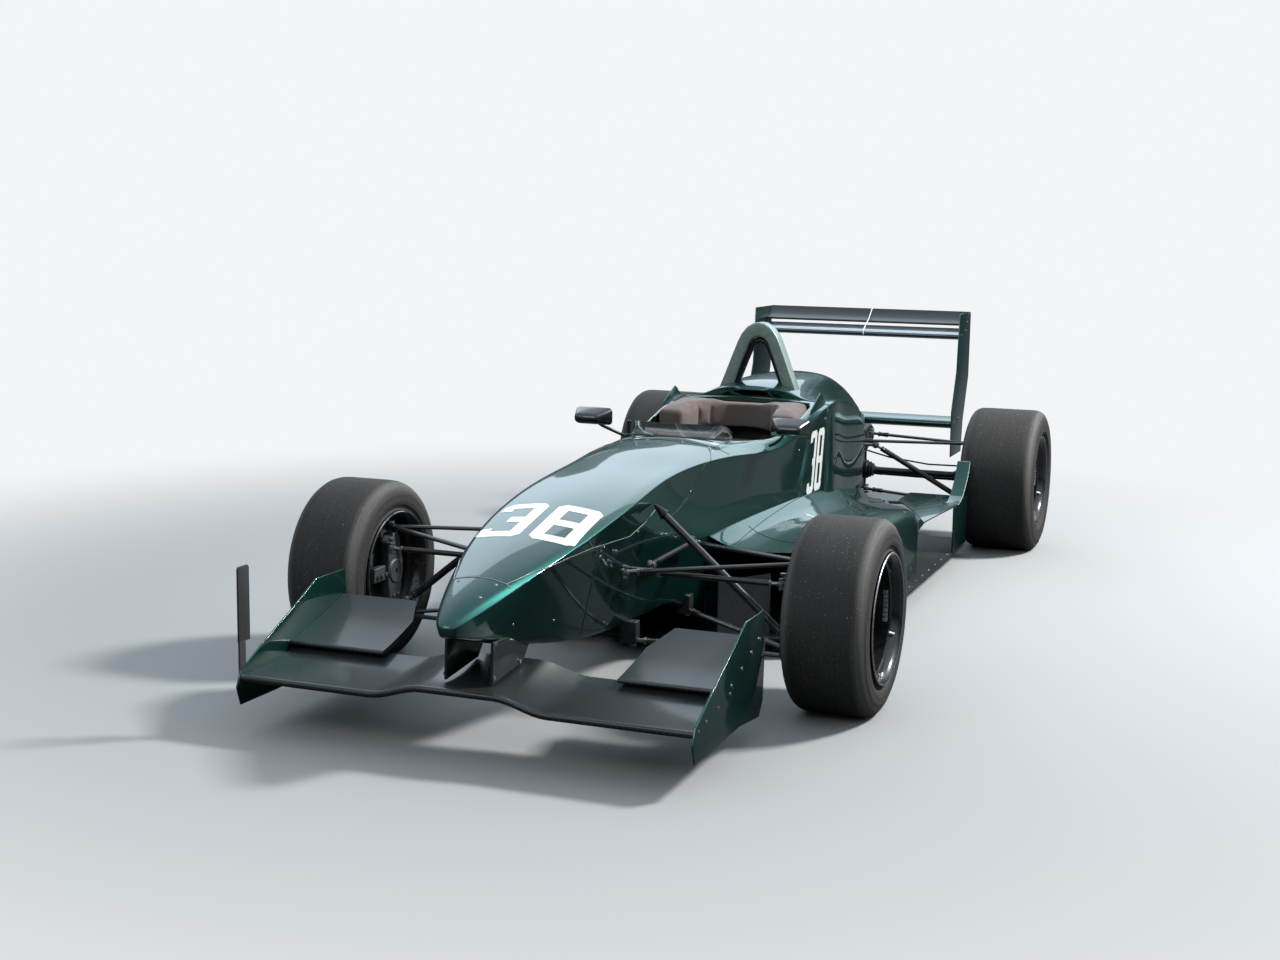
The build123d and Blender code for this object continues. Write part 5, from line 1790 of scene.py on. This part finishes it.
def make_hoop():
    form = bmesh.new()
    outer = [form.verts.new(point) for point in arch(HOOP_OUTER, HOOP_FRONT)]
    inner = [form.verts.new(point) for point in arch(HOOP_INNER, HOOP_FRONT)]
    for place in range(len(outer) - 1):
        form.faces.new((outer[place], outer[place + 1], inner[place + 1], inner[place]))
    made = bmesh.ops.extrude_face_region(form, geom=form.faces[:])
    depth = (0, (HOOP_BACK - HOOP_FRONT) / 1000, 0)
    bmesh.ops.translate(form, vec=depth, verts=new_items(made, bmesh.types.BMVert))
    piece = make_piece("hoop_fairing", form, "hoop_paint", stands_for=["roll_hoop"])
    bevel_corners(piece, 0.005, 3)
    settle(piece)
    make_piece("hoop_tube", pipe(arch(HOOP_TUBE, HOOP_MIDDLE), 0.011, 20, (16, 10)), "satin_black")


make_hoop()
print("roll hoop made")

# %% Screen and mirrors
SCREEN_FOOT, SCREEN_TOP, SCREEN_LEAN, SCREEN_OFFSET, SCREEN_DROP = 638, 688, 0.4, 6, 28
SCREEN_LINE = [
    (0, 700), (60, 700), (100, 700), (120, 701), (134, 703), (145, 708), (154, 717), (161, 731), (168, 750),
]
MIRROR_REAR, MIRROR_NOSE = (345, 831, 682, 66, 29), (353, 769, 678, 40, 14)
STALK_LINE = [(254, 902, 608), (276, 894, 618), (300, 868, 634), (318, 836, 650), (326, 812, 664)]


def screen_plan():
    """The front of the opening, grown outwards by the screen's offset, from its left end to its right."""
    line = [Vector((-across, back)) for across, back in reversed(SCREEN_LINE[1:])]
    line += [Vector(point) for point in SCREEN_LINE]
    grown = []
    for place, point in enumerate(line):
        run = run_at(line, place)
        grown.append(point + Vector((run.y, -run.x)) * SCREEN_OFFSET)
    return grown


def make_screen():
    form = bmesh.new()
    line = screen_plan()
    feet = [form.verts.new(spot(point.x, point.y, SCREEN_FOOT)) for point in line]
    edges = [form.edges.new(pair) for pair in zip(feet, feet[1:])]
    made = bmesh.ops.extrude_edge_only(form, edges=edges)
    for vert in new_items(made, bmesh.types.BMVert):
        back = vert.co.y * 1000 + AXLE_TO_MIDDLE
        rise = (SCREEN_TOP - SCREEN_DROP * min(max((back - 708) / 44, 0), 1)) - SCREEN_FOOT
        vert.co += Vector((0, rise * SCREEN_LEAN, rise)) / 1000
    piece = make_piece("clear_windscreen", form, "clear_screen", stands_for=["windscreen"], sharp=60)
    thicken(piece, 0.0025, 0.0006)
    settle(piece, 60)
    strip = pipe([spot(point.x, point.y, SCREEN_FOOT + 7) for point in line], 0.0026, 8)
    make_piece("screen_foot_strip", strip, "satin_black")


def rear_most(form):
    return max(form.faces, key=lambda face: face.calc_center_median().y)


def mirror_shell():
    """A box drawn to a small rounded nose, its rear face sunk for the glass."""
    form = bmesh.new()
    bmesh.ops.create_cube(form, size=1.0)
    for vert in form.verts:
        across, back, up, half_wide, half_tall = MIRROR_REAR if vert.co.y > 0 else MIRROR_NOSE
        across, up = across + math.copysign(half_wide, vert.co.x), up + math.copysign(half_tall, vert.co.z)
        vert.co = spot(across, back, up)
    rim = rear_most(form).edges[:]
    round_edges(form, 0.013, 4, [edge for edge in form.edges if edge not in rim])
    sunk = rear_most(form)
    bmesh.ops.inset_region(form, faces=[sunk], thickness=0.005, depth=0)
    bmesh.ops.translate(form, vec=(0, -0.006, 0), verts=sunk.verts[:])
    return form


def make_mirror(side, hand):
    shell, stands_for = turned_over(mirror_shell(), hand), ["mirrors"] if hand > 0 else []
    make_piece(f"mirror_shell_{side}", shell, "gloss_black", stands_for=stands_for)
    glass = brick(286, 404, 824, 826, 660, 704, 0.0008, 1)
    make_piece(f"mirror_glass_{side}", turned_over(glass, hand), "mirror_glass")
    stalk = pipe(spots(STALK_LINE), 0.0055, 14, (14, 8))
    make_piece(f"mirror_stalk_{side}", turned_over(stalk, hand), "satin_black")


make_screen()
for side, hand in HANDS.items():
    make_mirror(side, hand)
print("screen and mirrors made")

# %% [markdown]
# The race numbers are white film laid on the paint. Each digit is a fine grid, cut along its strokes by
# bisect_plane, and every point is then dropped onto the skin below it, so the film follows the curve of the
# nose.

# %% Digits
FILM_GAP, GRID_STEP, DOWN = 0.0006, 0.006, Vector((0, 0, -1))
CORNER_SHARE, STUB_SHARE, WAIST_SHARE = 0.5, 0.55, 1.5


def digit_faces(kind, wide, tall, stroke):
    """A block 3 or 8 in its own plane, X to the right and Y up, centred on its box."""
    form = bmesh.new()
    columns, rows = math.ceil(wide / GRID_STEP), math.ceil(tall / GRID_STEP)
    bmesh.ops.create_grid(form, x_segments=columns, y_segments=rows, size=0.5)
    bmesh.ops.scale(form, vec=(wide, tall, 1), verts=form.verts[:])
    half_wide, half_tall, half_stroke, corner = wide / 2, tall / 2, stroke / 2, stroke * CORNER_SHARE
    inside, over, waist = half_wide - stroke, half_tall - stroke, stroke * WAIST_SHARE - half_wide
    stub = over - stroke * STUB_SHARE
    levels = [half_stroke, over, stub] if kind == "3" else [half_stroke, over]
    lines = {(side * inside, 0, 1, 0) for side in (1, -1)}
    lines |= {(0, side * level, 0, 1) for side in (1, -1) for level in levels}
    lines |= {(waist, 0, 1, 0)} if kind == "3" else set()
    lines |= {(x * (half_wide - corner), y * half_tall, x, y) for x in (1, -1) for y in (1, -1)}
    for x, y, *normal in sorted(lines):
        place, facing_to = (x, y, 0), (*normal, 0)
        bmesh.ops.bisect_plane(form, geom=everything(form), plane_co=place, plane_no=facing_to, dist=1e-6)

    def bare(point):
        across, up = abs(point.x), abs(point.y)
        if across + up > half_wide + half_tall - corner or (across < inside and half_stroke < up < over):
            return True
        gap = point.x < -inside and half_stroke <= up < stub
        return kind == "3" and (gap or (point.x < waist and up < half_stroke))

    drop_faces(form, bare)
    return form


def skin_tree(pieces):
    """One search tree over the outer skins, for dropping film onto them."""
    form = bmesh.new()
    for piece in pieces:
        form.from_mesh(piece.data)
    tree = BVHTree.FromBMesh(form)
    form.free()
    return tree


def landed(tree, starts, direction=DOWN):
    """Place and normal of the skin where rays from a list of points meet it. Rays that miss are left out."""
    hits = [tree.ray_cast(start, direction)[:2] for start in starts]
    return [(place, normal) for place, normal in hits if place is not None]


def on_skin(tree, starts, direction=DOWN, lift=0.0002):
    return [place + normal * lift for place, normal in landed(tree, starts, direction)]


def lay_film(form, tree, direction):
    """Drops each point along a direction onto the skin and lifts it clear."""
    lost = []
    for vert in form.verts:
        place, normal, _, _ = tree.ray_cast(vert.co - direction * 0.3, direction)
        if place is None:
            lost.append(vert)
        else:
            vert.co = place + normal * FILM_GAP * (1 if normal.dot(direction) < 0 else -1)
    bmesh.ops.delete(form, geom=lost, context="VERTS")
    return form


# %% Numbers
NOSE_DIGIT, NOSE_NUMBER, NOSE_APART = (0.132, 0.232, 0.036), (-372, 900), 80
SIDE_DIGIT, SIDE_NUMBER, SIDE_APART = (0.078, 0.226, 0.026), (1388, 498), 46
ORDERS = {"3": -1, "8": 1}


def make_nose_number():
    tree, both = skin_tree([front_cover]), bmesh.new()
    for kind, order in ORDERS.items():
        form = move(digit_faces(kind, *NOSE_DIGIT), spot(order * NOSE_APART, *NOSE_NUMBER))
        merge_into(both, lay_film(form, tree, DOWN))
    make_piece("nose_number", both, "white_film", sharp=60)


def make_side_number(side, hand):
    tree, both = skin_tree([tub]), bmesh.new()
    upright = Matrix(((0, 0, hand), (hand, 0, 0), (0, 1, 0))).to_4x4()
    for kind, order in ORDERS.items():
        place = spot(hand * 330, SIDE_NUMBER[0] + hand * order * SIDE_APART, SIDE_NUMBER[1])
        form = set_by(digit_faces(kind, *SIDE_DIGIT), Matrix.Translation(place) @ upright)
        merge_into(both, lay_film(form, tree, Vector((-hand, 0, 0))))
    make_piece(f"side_number_{side}", both, "white_film", sharp=60)


make_nose_number()
for side, hand in HANDS.items():
    make_side_number(side, hand)
print("numbers laid")

# %% [markdown]
# The panels meet at fine dark joints. A pale bead runs beside the front joint and the forward part of each
# side seam: a painted highlight, standing in for the light caught on the panel edge. Each joint is a thin
# bead that follows the same seam lines the panels were cut by, laid on the skin like the numbers.

# %% Joints and fasteners
SEAM_STEP, CROSS_STEPS, ABOVE, BESIDE = 12, 24, 900, 400
TOP_RIVETS = [
    (-52, -748), (52, -748), (-40, -812), (40, -812), (-150, 585), (150, 585), (-60, 592), (60, 592),
]
SIDE_RIVETS = [
    (-620, 452), (-300, 466), (-60, 470), (160, 478), (330, 530), (560, 628), (-700, 330), (-500, 300),
    (1180, 560), (1470, 640), (1470, 420), (620, 120), (900, 110),
]


def seam_line(seam, hand, tree):
    """Points on the skin along a (back, up) seam, seen square from the side."""
    starts = []
    for (y0, z0), (y1, z1) in zip(seam, seam[1:]):
        count = max(1, round(abs(y1 - y0) / SEAM_STEP))
        shares = [place / count for place in range(count)]
        starts += [spot(hand * BESIDE, y0 + (y1 - y0) * share, z0 + (z1 - z0) * share) for share in shares]
    return on_skin(tree, starts, Vector((-hand, 0, 0)))


def cross_line(back, tree, half):
    """Points on the skin straight across the car."""
    places = [2 * half * place / CROSS_STEPS - half for place in range(CROSS_STEPS + 1)]
    return on_skin(tree, [spot(across, back, ABOVE) for across in places])


def bead(points, radius=0.0009):
    return pipe(points, radius, 6)


def button(place, normal, radius):
    """A low domed screw head."""
    form = bmesh.new()
    bmesh.ops.create_uvsphere(form, u_segments=12, v_segments=6, radius=radius)
    bmesh.ops.scale(form, vec=(1, 1, 0.4), verts=form.verts[:])
    return set_by(form, facing(place, normal))


def add_buttons(form, seats, radius):
    merge_into(form, *[button(place, normal, radius) for place, normal in seats])


def make_joints():
    tree = skin_tree([front_cover, nose_cone, tub])
    dark = merge_into(
        bmesh.new(), *[bead(seam_line(COVER_EDGE, hand, tree)) for hand in HANDS.values()],
        bead(cross_line(NOSE_SEAM, tree, 86)), bead(cross_line(COVER_REAR, tree, 215)))
    make_piece("panel_joints", dark, "joint_dark")
    # The pale bead just behind the front joint and above the forward side seams is a painted highlight of the
    # panel edges.
    front_run = [point + Vector((0, 0.0016, 0.0002)) for point in cross_line(NOSE_SEAM, tree, 84)]
    bright = merge_into(bmesh.new(), bead(front_run, 0.0012))
    highlight_runs = [(back, up) for back, up in COVER_EDGE if back < 120]
    for hand in HANDS.values():
        merge_into(bright, bead([point + UP * 0.0014 for point in seam_line(highlight_runs, hand, tree)], 0.0006))
    make_piece("seam_highlights", bright, "painted_highlight")


def make_rivets():
    tree, form = skin_tree([front_cover, nose_cone, tub]), bmesh.new()
    add_buttons(form, landed(tree, [spot(across, back, ABOVE) for across, back in TOP_RIVETS]), 0.0045)
    for hand in HANDS.values():
        starts = [spot(hand * BESIDE, back, up) for back, up in SIDE_RIVETS]
        add_buttons(form, landed(tree, starts, Vector((-hand, 0, 0))), 0.0042)
    make_piece("body_fasteners", form, "rod_end_steel")


make_joints()
make_rivets()
print("joints and fasteners made")

# %% [markdown]
# Behind the cover the gearbox carries the rear suspension. It is a ribbed casting in three lengths, bolted at
# wide flanges, with the starter plug and the brake pipes on it, and the crash box and its lamp behind.

# %% Gearbox
CASE_HEIGHT, CASE_CORNER = 300, 18
CASE_STATIONS = [(2151, 280, 340), (2420, 210, 280), (2560, 202, 270), (2740, 190, 258), (2900, 180, 250)]
FLANGES = [(2156, 296, 356), (2420, 226, 296), (2560, 214, 284), (2740, 202, 270), (2894, 192, 262)]
ROCKER = [(80, 2574), (196, 2622), (204, 2632), (204, 2648), (196, 2658), (80, 2706)]
OUTPUT_FLANGE = [(70, 6), (70, 44), (112, 44), (118, 40), (122, 40), (123, 6)]
STARTER_PLUG = [(0, 4), (0, 22), (14, 22), (18, 18), (18, 10), (10, 8), (10, 4)]
BRAKE_ROUTE = [
    (96, 2600, 372), (150, 2612, 384), (260, 2640, 352), (420, 2660, 330), (560, 2700, 326), (640, 2760, 322),
]


def case_ring(back, wide, tall, corner=CASE_CORNER, middle=CASE_HEIGHT):
    """An upright rectangle with round corners."""
    points = []
    for sign_x, sign_z, start in ((1, 1, 0), (-1, 1, 90), (-1, -1, 180), (1, -1, 270)):
        for step in range(5):
            angle = math.radians(start + 22.5 * step)
            across = sign_x * (wide / 2 - corner) + corner * math.cos(angle)
            up = middle + sign_z * (tall / 2 - corner) + corner * math.sin(angle)
            points.append(spot(across, back, up))
    return points


def gearbox_side():
    """Ribs, the rocker's plate and the output flange of the left hand side."""
    form = bmesh.new()
    for up in (238, 290, 342):
        merge_into(form, brick(96, 103.5, 2430, 2550, up - 3, up + 3, 0.0015, 2),
                   brick(91, 98.5, 2752, 2884, up - 3, up + 3, 0.0015, 2))
    output = move(turn(OUTPUT_FLANGE, 40), spot(*REAR_AXLE))
    return merge_into(form, flat(ROCKER, 396.2, 407.8, 0.002), output)


def make_gearbox():
    case = bridge_rings([case_ring(*station) for station in CASE_STATIONS])
    bolts, lines = bmesh.new(), bmesh.new()
    for back, wide, tall in FLANGES:
        merge_into(case, bridge_rings([case_ring(back - 5, wide, tall), case_ring(back + 5, wide, tall)]))
        for place in range(5):
            up = CASE_HEIGHT - tall / 2 + 16 + (tall - 32) * place / 4
            for hand in HANDS.values():
                merge_into(bolts, nut(spot(hand * (wide / 2 - 3.5), back + 7, up), ALONG_CAR, 0.005, 0.005))
    add_pair(case, gearbox_side)
    merge_into(bolts, move(rotate(turn(STARTER_PLUG, 28), 90, "Z"), spot(-52, 2882, 226)))
    for hand in HANDS.values():
        merge_into(lines, pipe(spots(BRAKE_ROUTE, hand), 0.0035, 10, (10, 6)))
    make_piece("gearbox_case", case, "cast_magnesium", stands_for=["gearbox"])
    make_piece("gearbox_bolts", bolts, "rod_end_steel")
    make_piece("brake_pipes", lines, "satin_black")


# %% Crash box, lamp and exhaust
CRASH_STATIONS = [
    (2901, 150, 140, 14, 350), (2915, 148, 138, 20, 351), (3040, 124, 116, 22, 364), (3176, 100, 93, 20, 379),
    (3190, 96, 90, 16, 380),
]
JACK_BAR = [(-70, 3040, 262), (70, 3040, 262)]
PIPE_LINE = [
    (-132, 2002, 250), (-178, 2050, 250), (-200, 2082, 250), (-204, 2120, 251), (-196, 2200, 254),
    (-161, 2424, 262),
]
PIPE_RADIUS, WELD_HEIGHT = 0.0274, 0.0008


def make_tail():
    nose = bridge_rings([case_ring(*station) for station in CRASH_STATIONS])
    merge_into(nose, brick(-16, 16, 2962, 3038, 400, 462, 0.004))
    make_piece("crash_box", nose, "carbon_weave", stands_for=["crash_structure"])
    steel = merge_into(
        bmesh.new(), eye(spot(0, 3205, 323), ACROSS_CAR, 0.0225, 0.0135, 0.011),
        brick(-5.5, 5.5, 3150, 3192, 318, 346, 0.002), bar(*spots(JACK_BAR), 0.0124, segments=28),
        *[nut(spot(hand * 68, 3040, 262), ACROSS_CAR, 0.0124, 0.004) for hand in HANDS.values()],
        brick(-8, 8, 3021, 3059, 244, 320, 0.002))
    make_piece("tow_eye_and_jack_bar", steel, "rod_end_steel")
    housing = brick(-50, 50, 3191, 3208, 350, 410, 0.005)
    make_piece("rain_light_housing", housing, "matt_black", stands_for=["rain_light"])
    lens = brick(-44, 44, 3206, 3215.5, 355, 405, 0.004)
    for across in range(-36, 37, 12):
        merge_into(lens, brick(across - 0.8, across + 0.8, 3215, 3216, 358, 402, 0.0003, 1))
    make_piece("rain_light_lens", lens, "red_lens")


def make_exhaust():
    points, welds = spots(PIPE_LINE), bmesh.new()
    for point, after in zip(points[1:-1], points[2:]):
        half = (after - point).normalized() * 0.001
        merge_into(welds, bar(point - half, point + half, PIPE_RADIUS + WELD_HEIGHT, segments=36))
    exhaust = pipe(points, PIPE_RADIUS, 36, (32, 16))
    make_piece("exhaust_pipe", exhaust, "heated_steel", stands_for=["exhaust"])
    make_piece("exhaust_welds", welds, "rod_end_steel")


make_gearbox()
make_tail()
make_exhaust()
print("tail made")

# %% [markdown]
# What is left is fitted to the panels: the cooling cores in the pods, the shelves and lips ahead of the rear
# tyres, with a pale bead along the lips' edges as a painted highlight, the fins, and the floor with its
# screws.

# %% Radiators, flip ups and fins
RADIATOR_WIDE, RADIATOR_DEEP, RADIATOR_TALL, RADIATOR_FINS = 0.270, 0.045, 0.210, 30
RADIATOR_PLACE = Matrix.Translation(spot(428, 1060, 190)) @ Matrix.Rotation(math.radians(32), 4, "Z")
SHELF = [(612, 1702), (648, 2150), (648, 2370), (411, 2370), (411, 2161), (531, 1911)]
LIP = [(2150, 249), (2200, 256), (2246, 270), (2290, 299), (2326, 328), (2352, 357), (2372, 391)]
FIN = [(1308, 640), (1506, 660), (1506, 693), (1452, 729), (1434, 736), (1314, 684)]
POD_SCREWS = [(560, 900), (560, 1300), (560, 1600), (430, 2100), (600, 1900), (620, 2300)]
POD_ABOVE = 700


def radiator_core():
    core = block((RADIATOR_WIDE * 0.86, RADIATOR_DEEP * 0.8, RADIATOR_TALL * 0.98), 0.001)
    for place in range(RADIATOR_FINS):
        up = RADIATOR_TALL * (-0.47 + 0.94 * place / (RADIATOR_FINS - 1))
        cooling_fin = block((RADIATOR_WIDE * 0.86, RADIATOR_DEEP * 0.96, 0.0014), 0.0003)
        merge_into(core, move(cooling_fin, (0, 0, up)))
    return set_by(core, RADIATOR_PLACE)


def radiator_tanks():
    tanks = bmesh.new()
    for end in (1, -1):
        tank = block((RADIATOR_WIDE * 0.068, RADIATOR_DEEP * 0.98, RADIATOR_TALL * 0.99), 0.005)
        merge_into(tanks, move(tank, (end * RADIATOR_WIDE * 0.465, 0, 0)))
    return set_by(tanks, RADIATOR_PLACE)


def flip_up():
    outline = LIP + [(2376, 389)] + [(back + 5, up - 3.5) for back, up in reversed(LIP[:-1])]
    return merge_into(flat(SHELF, 246.5, 251.5, 0.001), slab(outline, 598.5, 649.5, 0.0008),
                      brick(640.5, 647.5, 2101, 2359, 68, 247, 0.002))


def make_fittings():
    edge = bmesh.new()
    for hand in HANDS.values():
        # A pale bead along each lip's edge and across its top is a painted highlight.
        merge_into(edge, bead([spot(hand * 649.6, back, up + 0.5) for back, up in LIP], 0.0013))
        merge_into(edge, bead([spot(hand * across, 2373.5, 391.6) for across in (599, 649)], 0.0013))
    fins = add_pair(bmesh.new(), slab, FIN, 275.2, 278.8, 0.0008)
    cores, tanks, shelves = (add_pair(bmesh.new(), make) for make in (radiator_core, radiator_tanks, flip_up))
    make_piece("radiator_cores", cores, "satin_black", stands_for=["radiators"])
    make_piece("radiator_tanks", tanks, "raw_aluminium")
    make_piece("shelves_and_lips", shelves, "green_paint", stands_for=["flip_ups"])
    make_piece("lip_highlights", edge, "painted_highlight")
    make_piece("shoulder_fins", fins, "green_paint", stands_for=["cockpit_fins"])


def make_floor_screws():
    form = bmesh.new()
    for hand in HANDS.values():
        outward = ACROSS_CAR * hand
        seats = [(spot(hand * 628, back, 66.2), UP) for back in range(640, 2400, 110)]
        for back in range(2600, 2960, 60):
            seats.append((spot(hand * 401.4, back, 72 + (back - 2560) * 0.2), outward))
        add_buttons(form, seats, 0.0045)
        starts = [spot(hand * across, back, POD_ABOVE) for across, back in POD_SCREWS]
        add_buttons(form, landed(pod_tree, starts), 0.0042)
    make_piece("floor_and_pod_screws", form, "rod_end_steel")


pod_tree = skin_tree(pods)
make_fittings()
make_floor_screws()
print("fittings made")

# %% Trim, post and tape
POD_SEAMS = [((265, 512), (272, 1300)), ((252, 700), (585, 690))]
POD_SEAM_STEPS = 40
POST = [(0, 2), (0, 13), (6, 13), (10, 8), (52, 7), (54, 2)]
TAPES = [
    (-150, 640, 0.030, 0.044, 12), (148, 648, 0.026, 0.040, -8), (345, 1130, 0.044, 0.020, 20),
    (430, 1190, 0.030, 0.014, -35),
]


def make_trim():
    """A pale line along the cockpit's rim, a painted highlight where the light catches its rolled edge, a
    black post base on the right, and bits of tape.
    """
    tree, rim = skin_tree([tub, front_cover]), bmesh.new()
    # The pale bead along the rim is a painted highlight.
    for hand in HANDS.values():
        starts = [spot(hand * (across + 3), back, ABOVE) for across, back in OPENING[3:-2]]
        merge_into(rim, bead(on_skin(tree, starts, lift=0.0003), 0.0012))
    make_piece("cockpit_rim_highlight", rim, "painted_highlight")
    [(foot, _)] = landed(tree, [spot(-205, 800, ABOVE)])
    make_piece("aerial_base", move(rotate(turn(POST, 24), -90, "Y"), foot), "satin_black")
    tape = bmesh.new()
    for across, back, wide, long, turned in TAPES:
        strip = bmesh.new()
        bmesh.ops.create_grid(strip, x_segments=6, y_segments=6, size=0.5)
        bmesh.ops.scale(strip, vec=(wide, long, 1), verts=strip.verts[:])
        move(rotate(strip, turned, "Z"), spot(across, back, ABOVE))
        merge_into(tape, lay_film(strip, tree if back < ABOVE else pod_tree, DOWN))
    make_piece("tape_patches", tape, "clear_tape")


def make_pod_seams():
    seams = bmesh.new()
    for hand in HANDS.values():
        for (x0, y0), (x1, y1) in POD_SEAMS:
            starts = []
            for step in range(POD_SEAM_STEPS + 1):
                share = step / POD_SEAM_STEPS
                starts.append(spot(hand * (x0 + (x1 - x0) * share), y0 + (y1 - y0) * share, POD_ABOVE))
            merge_into(seams, bead(on_skin(pod_tree, starts), 0.0011))
    make_piece("pod_seams", seams, "joint_dark")


make_trim()
make_pod_seams()
print("trim made")
